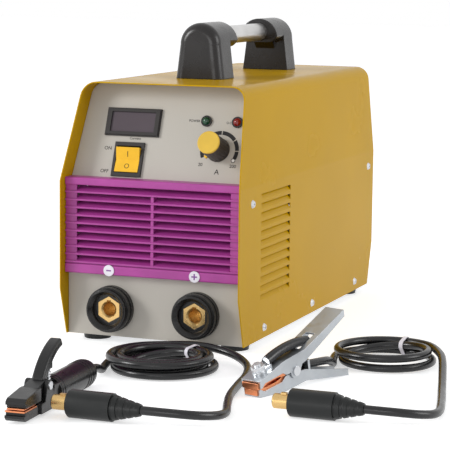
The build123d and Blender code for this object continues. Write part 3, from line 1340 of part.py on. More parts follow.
def clamp_terminal():
    """Bolt, nut and cable lug on the back of the upper jaw."""
    tip, heel = Vector(*CLAMP_BACK[0]), Vector(*CLAMP_BACK[1])
    along = (heel - tip).normalized()
    spot = tip + (heel - tip) * (TERMINAL_STATION / heel.X)
    seat = Plane(origin=CLAMP.from_local_coords(spot), x_dir=CLAMP.x_dir * along.X + CLAMP.y_dir * along.Y,
                 z_dir=CLAMP.y_dir * along.X - CLAMP.x_dir * along.Y)
    lug = Circle(LUG_RADIUS) + Pos(LUG_RADIUS + 1, 0) * Rectangle(*LUG_TAIL)
    body = extrude(seat * lug, LUG_THICKNESS)
    body += extrude(seat.offset(LUG_THICKNESS) * Circle(TERMINAL_NUT + 0.5), 1)
    body += extrude(seat.offset(LUG_THICKNESS + 1) * RegularPolygon(TERMINAL_NUT, 6, major_radius=False), 4.4)
    return body + extrude(seat * Circle(TERMINAL_BOLT), 3 * TERMINAL_BOLT)


def clamp_sleeve():
    """Sleeved cable from the lug, along the jaw's back and in under the handle."""
    points = [CLAMP.from_local_coords(Vector(*point, 0)) for point in SLEEVE_PATH]
    radii = [corner_radius(*corner) for corner in zip(points, points[1:], points[2:])]
    return tube(FilletPolyline(*points, radius=radii).wire(), SLEEVE)


def screws():
    """Cover screws on both sides, fan screws at the rear and a screw in each foot."""
    made = [pan_screw((side * HALF, y, z), (side, 0, 0), SCREW_LENGTH)
            for side in (-1, 1) for y, z in screw_stations()]
    face = REAR - REAR_SETBACK + 2 * GUARD_WIRE
    made += [pan_screw((x, face, z), (0, 1, 0), SCREW_LENGTH + 3) for x, z in fan_corners()]
    made += [pan_screw((x, y, BOTTOM / 2), (0, 0, -1), SCREW_LENGTH) for x, y in foot_places()]
    return made


# ---------------------------------------------------------------- main
save("cover", cover())
save("base_tray", base_tray())
save("feet", *feet())
save("front_panel", front_panel())
save("front_grille", front_grille())
save("polarity_discs", *polarity_discs())
save("rear_panel", rear_panel())
save("display_bezel", display_bezel())
save("display_window", display_window())
save("switch_housing", switch_housing())
save("switch_rocker", switch_rocker())
save("potentiometer", potentiometer())
save("current_knob", current_knob())
save("knob_cap", knob_cap())
save("lamp_bezels", *[lamp_bezel(x) for x in LAMP_X])
save("power_lamp", lamp(LAMP_X[0]))
save("fault_lamp", lamp(LAMP_X[1]))
for side, x in (("minus", -SOCKET_X), ("plus", SOCKET_X)):
    save(f"socket_{side}_body", socket_body(x))
    save(f"socket_{side}_insert", socket_insert(x))
post_end = FRONT + HANDLE_START
save("handle_front_post", handle_post(post_end, 1))
save("handle_rear_post", handle_post(post_end + HANDLE_SPAN, -1))
save("handle_tube", handle_tube())
save("handle_bolts", *[handle_bolt(x, y) for x, y in post_bolts()])
save("fan_frame", fan_frame())
save("fan_rotor", fan_rotor())
save("fan_guard", fan_guard())
save("mains_gland", mains_gland())
save("heatsink", heatsink())
save("power_board", power_board())
save("capacitors", *capacitors())
save("transformer_core", transformer_core())
save("transformer_winding", transformer_winding())
save("busbars", busbar(-SOCKET_X), busbar(SOCKET_X))
save("holder_body", holder_body())
save("holder_contact", holder_contact())
save("holder_lever", holder_lever())
save("lever_contact", lever_contact())
save("holder_pin", holder_pin())
save("holder_spring", holder_spring())
save("clamp_lower_arm", clamp_lower_arm())
save("clamp_upper_arm", clamp_upper_arm())
save("clamp_lower_contact", clamp_contact(-1, lower_half()))
save("clamp_upper_contact", clamp_contact(1, UPPER_WIDTH / 2))
save("clamp_pivot", clamp_pivot())
save("clamp_spring", clamp_spring())
terminal = clamp_terminal()
save("clamp_terminal", terminal, clamp_sleeve() - terminal)
ties = []
for side, coil, quarters, tie_angle, plug in (
    ("minus", MINUS_COIL, MINUS_QUARTERS, MINUS_TIE, MINUS_PLUG),
    ("plus", PLUS_COIL, PLUS_QUARTERS, PLUS_TIE, PLUS_PLUG),
):
    winding = coil_wire(coil, quarters)
    ties.append(coil_tie(coil, quarters, tie_angle))
    report_gap(f"{side} coil", winding, CABLE_RADIUS, 2 * PI * coil[2])
    save(f"{side}_cable_coil", tube(winding, CABLE_RADIUS))
    save(f"{side}_plug_sleeve", plug_sleeve(plug))
    save(f"{side}_plug_pin", plug_pin(plug))
save("coil_ties", *ties)
save("minus_cable_start", run_cable("minus cable start", MINUS_START))
save("minus_cable_tail", run_cable("minus cable tail", MINUS_TAIL))
save("plus_cable_start", run_cable("plus cable start", PLUS_START))
save("plus_cable_tail", run_cable("plus cable tail", PLUS_TAIL))
save("screws", *screws())

os.makedirs("parts", exist_ok=True)
for name, shape in parts.items():
    export_step(shape, f"parts/{name}.step")
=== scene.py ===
from math import cos, pi, radians, sin

import bmesh
import bpy
from mathutils import Matrix, Vector


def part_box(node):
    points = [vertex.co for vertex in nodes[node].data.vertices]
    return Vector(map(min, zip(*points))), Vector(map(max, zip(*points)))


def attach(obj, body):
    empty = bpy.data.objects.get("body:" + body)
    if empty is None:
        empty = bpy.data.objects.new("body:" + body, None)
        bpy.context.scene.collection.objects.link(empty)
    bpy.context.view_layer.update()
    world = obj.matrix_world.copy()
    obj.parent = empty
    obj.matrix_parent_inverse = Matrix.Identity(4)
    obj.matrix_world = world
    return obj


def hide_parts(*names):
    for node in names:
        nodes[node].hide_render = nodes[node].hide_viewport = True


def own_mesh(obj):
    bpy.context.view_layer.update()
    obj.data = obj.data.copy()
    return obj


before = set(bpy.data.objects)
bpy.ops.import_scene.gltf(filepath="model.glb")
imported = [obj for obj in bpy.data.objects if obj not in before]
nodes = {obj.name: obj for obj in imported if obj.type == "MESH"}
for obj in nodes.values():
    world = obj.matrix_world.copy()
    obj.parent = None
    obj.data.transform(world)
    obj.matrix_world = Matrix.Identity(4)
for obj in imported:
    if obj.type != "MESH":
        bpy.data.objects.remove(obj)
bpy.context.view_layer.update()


# ---------------------------------------------------------------- camera
AZIMUTH = radians(20.981)
ELEVATION = radians(7.904)
ROLL = radians(0.635)
EYE = Vector((0.72825, -1.91042, 0.38060))
FOCAL_PIXELS = 1914.67
IMAGE_PIXELS = 450
SENSOR = 36.0


def make_camera():
    back = Vector((sin(AZIMUTH) * cos(ELEVATION), -cos(AZIMUTH) * cos(ELEVATION), sin(ELEVATION)))
    right = Vector((cos(AZIMUTH), sin(AZIMUTH), 0))
    up = back.cross(right)
    turned_right = right * cos(ROLL) + up * sin(ROLL)
    turned_up = -right * sin(ROLL) + up * cos(ROLL)
    data = bpy.data.cameras.new("camera")
    data.sensor_width = SENSOR
    data.lens = SENSOR * FOCAL_PIXELS / IMAGE_PIXELS
    data.clip_start = 0.05
    data.clip_end = 60
    camera = bpy.data.objects.new("camera", data)
    matrix = Matrix((turned_right, turned_up, back)).transposed().to_4x4()
    matrix.translation = EYE
    camera.matrix_world = matrix
    bpy.context.scene.collection.objects.link(camera)
    bpy.context.scene.camera = camera


make_camera()


# ---------------------------------------------------------------- shared helpers
def add(name, data, body="machine"):
    piece = bpy.data.objects.new(name, data)
    bpy.context.scene.collection.objects.link(piece)
    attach(piece, body)
    return piece


def mesh_from(name, build):
    """A mesh filled by build(bm)."""
    bm = bmesh.new()
    build(bm)
    mesh = bpy.data.meshes.new(name)
    bm.to_mesh(mesh)
    bm.free()
    return mesh


def wanted(colour):
    """An sRGB colour given as 0 to 255, as linear values with alpha."""
    shares = [c / 255 for c in colour]
    linear = [c / 12.92 if c <= 0.04045 else ((c + 0.055) / 1.055) ** 2.4 for c in shares]
    return (*linear, 1.0)


# ---------------------------------------------------------------- cords
CABLE = 0.0075
COIL_PITCH = 0.0096
LAYER_PITCH = 0.0092
COIL_BASE = 0.0047
COIL_START = 201.0
POINTS_PER_TURN = 16

MINUS_START = [
    (11.099, -379.38, 13.25), (10.184, -361.924, 13.25), (5.7, -338.45, 4.7), (0.077, -322.434, 4.7),
]
MINUS_TAIL = [
    (36.42, -244.936, 13.9), (62.3, -234.1, 13.9), (96.0, -239.0, 9.6), (121.0, -262.0, 5.4),
    (134.0, -300.0, 3.8), (140.5, -342.0, 3.8), (148.0, -382.0, 3.8), (159.5, -418.0, 3.8),
    (173.0, -454.0, 4.6), (164.6, -480.5, 8.2), (142.0, -497.0, 12.0), (114.0, -497.0, 12.0),
]
PLUS_START = [
    (186.1, -300.0, 17.8), (194.6, -275.4, 17.0), (197.2, -250.5, 14.2), (193.55, -228.35, 4.7),
    (186.796, -209.008, 4.7),
]
PLUS_TAIL = [
    (280.577, -172.991, 13.9), (291.0, -197.9, 13.9), (304.0, -248.0, 7.0), (316.0, -296.0, 3.8),
    (327.0, -340.0, 3.8), (335.5, -379.0, 4.6), (328.0, -403.0, 8.0), (306.0, -419.0, 12.0),
    (282.0, -419.0, 12.0),
]
MINUS_COIL = (0.048, -0.296, 0.054, 8, 7)     # centre, radius, quarter turns in and out
PLUS_COIL = (0.231, -0.184, 0.050, 4, 4)


def metres(points):
    return [Vector(point) / 1000 for point in points]


def coil_points(coil):
    """Control points of a piled coil, from its first turn to its last."""
    x, y, radius, turns_in, turns_out = coil
    inside = radius - COIL_PITCH * turns_in / 4
    per_quarter = POINTS_PER_TURN // 4
    pull = (3 + cos(2 * pi / POINTS_PER_TURN)) / 4      # how far a quadratic curve runs inside its points
    points = []
    for step in range(1, (turns_in + turns_out + 2) * per_quarter):
        quarter = step / per_quarter
        angle = radians(COIL_START - 90 * quarter)
        height = COIL_BASE + LAYER_PITCH
        if quarter <= turns_in:
            reach = radius - COIL_PITCH * quarter / 4
            height = COIL_BASE
        elif quarter <= turns_in + 2:
            reach = inside
            height = COIL_BASE + LAYER_PITCH * (1 - cos(radians(90 * (quarter - turns_in)))) / 2
        else:
            reach = inside + COIL_PITCH * (quarter - turns_in - 2) / 4
        points.append(Vector((x + reach / pull * cos(angle), y + reach / pull * sin(angle), height)))
    return points


def make_cord(name, points, replaced):
    curve = bpy.data.curves.new(name, "CURVE")
    curve.dimensions = "3D"
    curve.bevel_depth = 1.0     # times each point's radius, which is the cable's in metres
    curve.bevel_resolution = 6
    curve.resolution_u = 8
    curve.use_fill_caps = True
    spline = curve.splines.new("NURBS")
    spline.points.add(len(points) - 1)
    for slot, point in zip(spline.points, points):
        slot.co = (*point, 1)
        slot.radius = CABLE / 2
    spline.order_u = 3
    spline.use_endpoint_u = True
    cord = add(name, curve, "machine")
    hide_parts(*replaced)
    return cord


minus_cord = make_cord(
    "minus_cable",
    metres(MINUS_START) + coil_points(MINUS_COIL) + metres(MINUS_TAIL),
    ("minus_cable_start", "minus_cable_coil", "minus_cable_tail"),
)
plus_cord = make_cord(
    "plus_cable",
    metres(PLUS_START) + coil_points(PLUS_COIL) + metres(PLUS_TAIL),
    ("plus_cable_start", "plus_cable_coil", "plus_cable_tail"),
)


# ---------------------------------------------------------------- holder spring
SPRING_WIRE = 0.0007
SPRING_RADIUS = 0.0034
SPRING_TURNS = 4
SPRING_STEPS = 32           # rings in one turn
SPRING_SIDES = 12


def coil_up(bm, foot, height):
    """A closed tube wound round a vertical line from foot."""
    steps = SPRING_TURNS * SPRING_STEPS
    rise = (height - 2 * SPRING_WIRE) / steps
    rings = []
    for step in range(steps + 1):
        angle = 2 * pi * step / SPRING_STEPS
        out = Vector((cos(angle), sin(angle), 0))
        centre = foot + out * SPRING_RADIUS + Vector((0, 0, SPRING_WIRE + rise * step))
        rings.append([])
        for side in range(SPRING_SIDES):
            turn = 2 * pi * side / SPRING_SIDES
            reach = out * cos(turn) + Vector((0, 0, sin(turn)))
            rings[-1].append(bm.verts.new(centre + reach * SPRING_WIRE))
    for low, high in zip(rings, rings[1:]):
        for side in range(SPRING_SIDES):
            bm.faces.new((low[side - 1], low[side], high[side], high[side - 1])).smooth = True
    bm.faces.new(rings[0])
    bm.faces.new(reversed(rings[-1]))
    bmesh.ops.recalc_face_normals(bm, faces=bm.faces[:])


def make_holder_spring():
    """The CAD spring over again, as a mesh of its own."""
    low, high = (Vector(corner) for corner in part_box("holder_spring"))
    foot = Vector(((low.x + high.x) / 2, (low.y + high.y) / 2, low.z))
    mesh = mesh_from("spring_coil", lambda bm: coil_up(bm, foot, high.z - low.z))
    spring = add("spring_coil", mesh, "machine")
    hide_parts("holder_spring")
    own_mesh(spring)
    return spring


holder_spring = make_holder_spring()


# ---------------------------------------------------------------- materials
class Surface:
    """A procedural material: colour drift, fine bump and softened edges on one shader."""

    def __init__(self, name, colour, roughness, metallic=0.0):
        self.material = bpy.data.materials.new(name)
        self.material.use_nodes = True
        self.tree = self.material.node_tree
        self.shader = self.tree.nodes["Principled BSDF"]
        self.colour = wanted(colour)
        self.put("Base Color", self.colour)
        self.put("Roughness", roughness)
        self.put("Metallic", metallic)
        self.place = self.node("ShaderNodeTexCoord").outputs["Object"]
        self.normal = None
        self.roughness = roughness

    def node(self, kind, **settings):
        made = self.tree.nodes.new(kind)
        for key, value in settings.items():
            setattr(made, key, value)
        return made

    def put(self, socket, value):
        self.shader.inputs[socket].default_value = value

    def link(self, source, target):
        self.tree.links.new(source, target)

    def noise(self, scale, detail=3.0, stretch=None):
        noise = self.node("ShaderNodeTexNoise")
        noise.inputs["Scale"].default_value = scale
        noise.inputs["Detail"].default_value = detail
        place = self.place
        if stretch:
            mapping = self.node("ShaderNodeMapping")
            mapping.inputs["Scale"].default_value = stretch
            self.link(place, mapping.inputs["Vector"])
            place = mapping.outputs["Vector"]
        self.link(place, noise.inputs["Vector"])
        return noise.outputs["Fac"]

    def span(self, source, low, high, start=0.3, end=0.7):
        ramp = self.node("ShaderNodeMapRange")
        ramp.inputs["From Min"].default_value = start
        ramp.inputs["From Max"].default_value = end
        ramp.inputs["To Min"].default_value = low
        ramp.inputs["To Max"].default_value = high
        self.link(source, ramp.inputs["Value"])
        return ramp.outputs["Result"]

    def drift(self, scale, share):
        """Slow change of colour over the surface, by share to each side."""
        mix = self.node("ShaderNodeMix", data_type="RGBA")
        mix.inputs["A"].default_value = tuple(c * (1 - share) for c in self.colour[:3]) + (1,)
        mix.inputs["B"].default_value = tuple(min(c * (1 + share), 1) for c in self.colour[:3]) + (1,)
        self.link(self.span(self.noise(scale), 0, 1), mix.inputs["Factor"])
        self.link(mix.outputs["Result"], self.shader.inputs["Base Color"])
        self.base = mix.outputs["Result"]
        return self

    def sheen_drift(self, scale, low, high, stretch=None):
        """Slow change of roughness over the surface."""
        self.link(self.span(self.noise(scale, stretch=stretch), low, high), self.shader.inputs["Roughness"])
        return self

    def round_edges(self, radius):
        bevel = self.node("ShaderNodeBevel", samples=6)
        bevel.inputs["Radius"].default_value = radius
        self.normal = bevel.outputs["Normal"]
        self.link(self.normal, self.shader.inputs["Normal"])
        return self

    def edge_wear_and_highlight(self, colour, radius, strength):
        """A paler line along an edge, partly where the coat thins over it and partly a painted highlight."""
        bevel = self.node("ShaderNodeBevel", samples=6)
        bevel.inputs["Radius"].default_value = radius
        shape = self.node("ShaderNodeNewGeometry")
        turn = self.node("ShaderNodeVectorMath", operation="DOT_PRODUCT")
        self.link(bevel.outputs["Normal"], turn.inputs[0])
        self.link(shape.outputs["Normal"], turn.inputs[1])
        # Mask of the edges, where the worn coat and the painted highlight go.
        wear_and_highlight_mask = self.span(turn.outputs["Value"], strength, 0, 0.86, 0.99)
        mix = self.node("ShaderNodeMix", data_type="RGBA")
        mix.inputs["B"].default_value = wanted(colour)
        self.link(self.base, mix.inputs["A"])
        self.link(wear_and_highlight_mask, mix.inputs["Factor"])
        self.link(mix.outputs["Result"], self.shader.inputs["Base Color"])
        self.base = mix.outputs["Result"]
        return self

    def bump(self, scale, depth, stretch=None, detail=2.0):
        """Fine relief, depth in metres."""
        bump = self.node("ShaderNodeBump")
        bump.inputs["Distance"].default_value = depth
        bump.inputs["Strength"].default_value = 1.0
        self.link(self.noise(scale, detail, stretch), bump.inputs["Height"])
        if self.normal:
            self.link(self.normal, bump.inputs["Normal"])
        self.normal = bump.outputs["Normal"]
        self.link(self.normal, self.shader.inputs["Normal"])
        return self


def painted(name, colour, wear_and_highlight_colour, rough, bend):
    """Powder coat: bend is its index of refraction."""
    surface = Surface(name, colour, rough)
    surface.put("IOR", bend)
    # The paler edge line is partly worn coat and partly a painted highlight.
    surface.drift(scale=9, share=0.035).edge_wear_and_highlight(wear_and_highlight_colour, radius=0.0012, strength=0.55)
    surface.sheen_drift(scale=14, low=rough - 0.04, high=rough + 0.05)
    return surface.round_edges(0.0006).bump(scale=900, depth=0.00002)


def plastic(name, colour, rough, grain, relief, edge=0.5, specular=0.5):
    """Moulded plastic or rubber: relief in micrometres, edge in millimetres."""
    surface = Surface(name, colour, rough)
    surface.put("Specular IOR Level", specular)
    surface.drift(scale=40, share=0.08).sheen_drift(scale=60, low=rough - 0.05, high=rough + 0.06)
    return surface.round_edges(edge / 1000).bump(grain, relief / 1e6)


def metal(name, colour, rough, relief, stretch=(1, 1, 1)):
    """Bare or plated metal: relief in micrometres, stretch of its grain along each axis."""
    surface = Surface(name, colour, rough, metallic=1.0)
    surface.drift(scale=35, share=0.07).sheen_drift(160, rough - 0.06, rough + 0.1, stretch)
    return surface.round_edges(0.0003).bump(700, relief / 1e6, stretch)


def lens(name, colour):
    """Coloured lamp lens."""
    return Surface(name, colour, 0.14).drift(scale=200, share=0.2).bump(scale=500, depth=0.00004)


def ink(name, colour, rough, share):
    return Surface(name, colour, rough).drift(300, share)


# The pale edge colours below are partly worn coat and partly painted highlight.
yellow_coat = painted("yellow_coat", (195, 151, 0), wear_and_highlight_colour=(204, 164, 40), rough=0.24, bend=1.12)
grey_coat = painted("grey_coat", (184, 179, 170), wear_and_highlight_colour=(202, 199, 193), rough=0.36, bend=1.3)
zinc_sheet = metal("zinc_sheet", (176, 178, 180), rough=0.38, relief=20)
purple_plastic = plastic("purple_plastic", (166, 60, 144), rough=0.36, grain=1400, relief=20)
case_black = plastic("case_black", (25, 22, 22), rough=0.26, grain=2200, relief=30, edge=1.2, specular=0.4)
socket_black = plastic("socket_black", (24, 23, 23), 0.28, grain=1800, relief=20, edge=0.6, specular=0.4)
bezel_black = plastic("bezel_black", (41, 38, 37), rough=0.4, grain=1800, relief=30, specular=0.3)
knob_black = plastic("knob_black", (44, 38, 36), rough=0.42, grain=1500, relief=30)
rubber_black = plastic("rubber_black", (18, 20, 20), rough=0.36, grain=1600, relief=50, specular=0.35)
cable_black = plastic("cable_black", (17, 17, 19), rough=0.26, grain=900, relief=40, specular=0.45)
tool_black = plastic("tool_black", (14, 14, 15), rough=0.28, grain=1300, relief=30, edge=1.1, specular=0.4)
yellow_plastic = plastic("yellow_plastic", (242, 188, 40), rough=0.34, grain=1600, relief=10, specular=0.3)
cap_yellow = plastic("cap_yellow", (217, 178, 66), rough=0.45, grain=1600, relief=10, specular=0.3)
white_plastic = plastic("white_plastic", (230, 226, 234), rough=0.35, grain=1200, relief=10)
brass = metal("brass", (208, 174, 116), rough=0.28, relief=10, stretch=(1, 6, 1))
copper = metal("copper", (216, 138, 96), rough=0.3, relief=30)
satin_tube = metal("satin_tube", (206, 205, 204), rough=0.34, relief=10, stretch=(6, 0.4, 6))
bright_zinc = metal("bright_zinc", (176, 180, 184), rough=0.34, relief=40)
bright_steel = metal("bright_steel", (205, 207, 210), rough=0.26, relief=10)
board_green = plastic("board_green", (38, 104, 62), rough=0.45, grain=1500, relief=20)
ferrite = plastic("ferrite", (58, 56, 56), rough=0.6, grain=1500, relief=50)
winding_copper = metal("winding_copper", (168, 92, 48), rough=0.35, relief=100, stretch=(1, 1, 30))
can_blue = plastic("can_blue", (34, 48, 92), rough=0.3, grain=1200, relief=10)
display_glass = Surface("display_glass", (86, 77, 83), 0.3).drift(25, 0.05).sheen_drift(30, 0.12, 0.2)
display_glass.put("Specular IOR Level", 0.2)
lamp_green = lens("lamp_green", (14, 66, 42))
lamp_red = lens("lamp_red", (132, 22, 18))
ink_black = ink("ink_black", (24, 22, 23), 0.55, 0.15)
ink_black.put("Specular IOR Level", 0.25)
ink_purple = ink("ink_purple", (122, 62, 142), 0.5, 0.12)
ink_white = ink("ink_white", (236, 235, 232), 0.45, 0.03)

LOOKS = {
    yellow_coat: ("cover",),
    grey_coat: ("front_panel",),
    zinc_sheet: ("base_tray", "rear_panel", "potentiometer"),
    purple_plastic: ("front_grille",),
    case_black: ("handle_front_post", "handle_rear_post", "mains_gland", "fan_frame", "fan_rotor"),
    socket_black: ("socket_minus_body", "socket_plus_body", "lamp_bezels"),
    bezel_black: ("display_bezel", "switch_housing"),
    knob_black: ("current_knob",),
    rubber_black: ("feet", "minus_plug_sleeve", "plus_plug_sleeve"),
    tool_black: ("holder_body", "holder_lever"),
    yellow_plastic: ("switch_rocker",),
    cap_yellow: ("knob_cap",),
    white_plastic: ("polarity_discs", "coil_ties"),
    brass: ("socket_minus_insert", "socket_plus_insert", "minus_plug_pin", "plus_plug_pin"),
    copper: ("holder_contact", "lever_contact", "clamp_lower_contact", "clamp_upper_contact", "busbars"),
    satin_tube: ("handle_tube", "heatsink"),
    bright_zinc: ("clamp_lower_arm", "clamp_upper_arm"),
    bright_steel: ("screws", "fan_guard", "holder_pin", "clamp_pivot", "clamp_spring", "handle_bolts",
                   "clamp_terminal"),
    board_green: ("power_board",),
    ferrite: ("transformer_core",),
    winding_copper: ("transformer_winding",),
    can_blue: ("capacitors",),
    display_glass: ("display_window",),
    lamp_green: ("power_lamp",),
    lamp_red: ("fault_lamp",),
}


def wear(piece, surface):
    piece.data.materials.clear()
    piece.data.materials.append(surface.material)


for surface, names in LOOKS.items():
    for name in names:
        wear(nodes[name], surface)
for cord in (minus_cord, plus_cord):
    wear(cord, cable_black)
wear(holder_spring, bright_steel)


# ---------------------------------------------------------------- marks on the control panel
SLANT_RATE = 36.0 / 96.0
SLANT = (1 + SLANT_RATE ** 2) ** 0.5
PANEL_FOOT = Vector((0, -0.195, 0.166))
PANEL_UP = Vector((0, SLANT_RATE / SLANT, 1 / SLANT))
PANEL_OUT = Vector((0, -1 / SLANT, SLANT_RATE / SLANT))
ACROSS = Vector((1, 0, 0))
INK = 0.00006


def panel_matrix(u, v, lift=0.0, turn=0.0):
    """Axes on the control panel at u, v millimetres from the middle of its foot."""
    place = Matrix((ACROSS, PANEL_UP, PANEL_OUT)).transposed().to_4x4()
    place.translation = PANEL_FOOT + ACROSS * u / 1000 + PANEL_UP * v / 1000 + PANEL_OUT * lift
    return place @ Matrix.Rotation(turn, 4, "Z")


def flat_shape(outline, holes=()):
    """Build function for a thin plate from closed outlines in millimetres."""
    def build(bm):
        loops = []
        for points in (outline, *holes):
            verts = [bm.verts.new((x / 1000, y / 1000, 0)) for x, y in points]
            loops += [bm.edges.new((verts[i - 1], verts[i])) for i in range(len(verts))]
        bmesh.ops.triangle_fill(bm, use_beauty=True, edges=loops)
        made = bmesh.ops.extrude_face_region(bm, geom=bm.faces[:])
        lifted = [v for v in made["geom"] if isinstance(v, bmesh.types.BMVert)]
        bmesh.ops.translate(bm, verts=lifted, vec=(0, 0, INK))
        bmesh.ops.recalc_face_normals(bm, faces=bm.faces[:])
    return build


def arc_points(radius, start, end, count):
    """Points round a circle; angles in degrees clockwise from straight up."""
    turns = [radians(start + (end - start) * i / count) for i in range(count + 1)]
    return [(radius * sin(turn), radius * cos(turn)) for turn in turns]


def disc_points(radius, count=40):
    return arc_points(radius, 0, 360 - 360 / count, count - 1)


def mark(name, matrix, outline, holes, surface, body="machine"):
    mesh = mesh_from(name, flat_shape(outline, holes))
    mesh.transform(matrix)
    piece = add(name, mesh, body)
    wear(piece, surface)
    return piece


def bar_points(width, height):
    x, y = width / 2, height / 2
    return [(-x, -y), (x, -y), (x, y), (-x, y)]


def write(name, text, u, v, size):
    """Small generic lettering, centred on u, v."""
    curve = bpy.data.curves.new(name, "FONT")
    curve.body = text
    curve.size = size / 1000
    curve.align_x = "CENTER"
    curve.align_y = "CENTER"
    curve.extrude = INK / 2
    curve.offset = 0.00003
    piece = add(name, curve, "machine")
    piece.matrix_world = panel_matrix(u, v, INK)
    wear(piece, ink_black)
    return piece


for name, text, u, v, size in (
    ("word_on", "ON", -58.6, 29.5, 5.0),
    ("word_off", "OFF", -59.0, 6.0, 5.0),
    ("word_current", "Current", -31.0, 40.6, 3.6),
    ("word_power", "POWER", 29.2, 61.2, 3.4),
    ("word_fault", "O.C", 65.4, 60.5, 3.2),
    ("low_current", "20", 41.6, 17.4, 4.6),
    ("high_current", "200", 75.4, 17.2, 4.6),
    ("unit", "A", 59.6, 10.6, 7.4),
):
    write(name, text, u, v, size)

KNOB = (58.0, 32.8)
RING = (59.4, 32.3)
SCALE_OUTSIDE = 20.0
SCALE_INSIDE = 16.1
SCALE_GAPS = (-116, -89, -51, 1, 53, 89, 116)
SCALE_GAP = 1.4             # half of a gap, in degrees
SCALE_END = 121
END_RING = (2.3, 1.6)       # outer and inner radius


def scale_ring():
    for index, (start, end) in enumerate(zip(SCALE_GAPS, SCALE_GAPS[1:])):
        outline = arc_points(SCALE_OUTSIDE, start + SCALE_GAP, end - SCALE_GAP, 16)
        outline += reversed(arc_points(SCALE_INSIDE, start + SCALE_GAP, end - SCALE_GAP, 16))
        mark(f"scale_{index}", panel_matrix(*RING), outline, (), ink_black)
    reach = (SCALE_OUTSIDE + SCALE_INSIDE) / 2
    ring = panel_matrix(RING[0] + reach * sin(radians(SCALE_END)), RING[1] + reach * cos(radians(SCALE_END)))
    outside, inside = (disc_points(radius, 24) for radius in END_RING)
    mark("scale_end", ring, outside, (inside,), ink_black)
    mark("scale_end_fill", ring, inside, (), ink_white)


scale_ring()


# ---------------------------------------------------------------- marks on the rocker and discs
SWITCH = (-35.0, 18.6)
ROCKER_TILT = radians(8)
ROCKER_PIVOT = 0.0020
ROCKER_EDGE = 6.4
ROCKER_DIP = 3.6
ROCKER_HALF = 12.3


def rocker_marks():
    """I on the upper half and O on the lower half of the dished face."""
    fall = (ROCKER_EDGE - ROCKER_DIP) / ROCKER_HALF
    pivot = panel_matrix(*SWITCH, -ROCKER_PIVOT) @ Matrix.Rotation(ROCKER_TILT, 4, "X")
    for name, v, outline, holes in (
        ("rocker_on", 5.6, bar_points(0.75, 5.4), ()),
        ("rocker_off", -6.3, disc_points(2.5), (disc_points(1.9),)),
    ):
        height = (ROCKER_DIP + abs(v) * fall) / 1000
        slope = Matrix.Rotation(fall if v > 0 else -fall, 4, "X")
        mark(name, pivot @ Matrix.Translation((0, v / 1000, height)) @ slope, outline, holes, ink_black,
             "rocker")


rocker_marks()

DISC_SIDE = 0.0455          # each disc's middle from the case's middle


def polarity_signs():
    low, high = (Vector(corner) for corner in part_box("polarity_discs"))
    facing = Matrix((ACROSS, Vector((0, 0, 1)), Vector((0, -1, 0)))).transposed().to_4x4()
    for name, x, bars in (("minus_sign", -DISC_SIDE, (bar_points(5.2, 1.3),)),
                          ("plus_sign", DISC_SIDE, (bar_points(6.0, 1.4), bar_points(1.4, 6.0)))):
        for index, bar in enumerate(bars):
            place = facing.copy()
            place.translation = Vector((x, low.y - index * INK / 2, (low.z + high.z) / 2))
            mark(f"{name}_{index}", place, bar, (), ink_purple)


polarity_signs()


# ---------------------------------------------------------------- two-tone CAD pieces
def paint_faces(name, surface, inside):
    """A second material on the faces whose centre passes the test."""
    mesh = nodes[name].data
    mesh.materials.append(surface.material)
    for face in mesh.polygons:
        if inside(face.center):
            face.material_index = 1


def on_panel(point):
    """Millimetres across, up and out of the control panel."""
    way = Vector(point) - PANEL_FOOT
    return way.x * 1000, way.dot(PANEL_UP) * 1000, way.dot(PANEL_OUT) * 1000


KNOB_EDGE = 12.3            # the pointer is what stands past the skirt
POINTER_HEIGHTS = (5, 9)


def pointer_face(point):
    u, v, out = on_panel(point)
    low, high = POINTER_HEIGHTS
    return Vector((u - KNOB[0], v - KNOB[1])).length > KNOB_EDGE and low < out < high


CLAMP_PIVOT = Vector((0.1793141, -0.3196205, 0.0174598))
CLAMP_TILT = radians(10.723)
CLAMP_HEADING = radians(71.0)
CLAMP_FLAT = Vector((cos(CLAMP_HEADING), sin(CLAMP_HEADING), 0))
CLAMP_ALONG = CLAMP_FLAT * cos(CLAMP_TILT) + Vector((0, 0, sin(CLAMP_TILT)))
CLAMP_UP = CLAMP_ALONG.cross(Vector((-CLAMP_FLAT.y, CLAMP_FLAT.x, 0)))
PIVOT_STATION = 51.0
SLEEVE_PATH = [(23.0, 17.2), (35.5, 19.6), (51.0, 20.7), (68.0, 19.8), (82.5, 16.25)]
SLEEVE_REACH = 5.4          # a little over the sleeve's radius
SLEEVE_SLACK = 0.05


def on_clamp(point):
    """Millimetres along the clamp, up from its jaw line and off its middle plane."""
    way = (Vector(point) - CLAMP_PIVOT) * 1000
    along, up = way.dot(CLAMP_ALONG), way.dot(CLAMP_UP)
    return Vector((along + PIVOT_STATION, up, (way - CLAMP_ALONG * along - CLAMP_UP * up).length))


def sleeve_face(point):
    """True on the cable sleeve, which runs along the back of the upper jaw."""
    spot = on_clamp(point)
    stops = [Vector((*stop, 0)) for stop in SLEEVE_PATH]
    if spot.x < stops[0].x - SLEEVE_SLACK:
        return False
    for start, end in zip(stops, stops[1:]):
        run = end - start
        share = min(max((spot - start).dot(run) / run.dot(run), 0), 1)
        if (spot - start - run * share).length < SLEEVE_REACH:
            return True
    return False


paint_faces("current_knob", yellow_plastic, pointer_face)
paint_faces("clamp_terminal", cable_black, sleeve_face)


# ---------------------------------------------------------------- studio
def seen_rays(tree):
    """1 for rays from the camera and for reflections, 0 for the light that falls on the object."""
    rays = tree.nodes.new("ShaderNodeLightPath")
    either = tree.nodes.new("ShaderNodeMath")
    either.operation = "MAXIMUM"
    tree.links.new(rays.outputs["Is Camera Ray"], either.inputs[0])
    tree.links.new(rays.outputs["Is Glossy Ray"], either.inputs[1])
    return either.outputs["Value"]


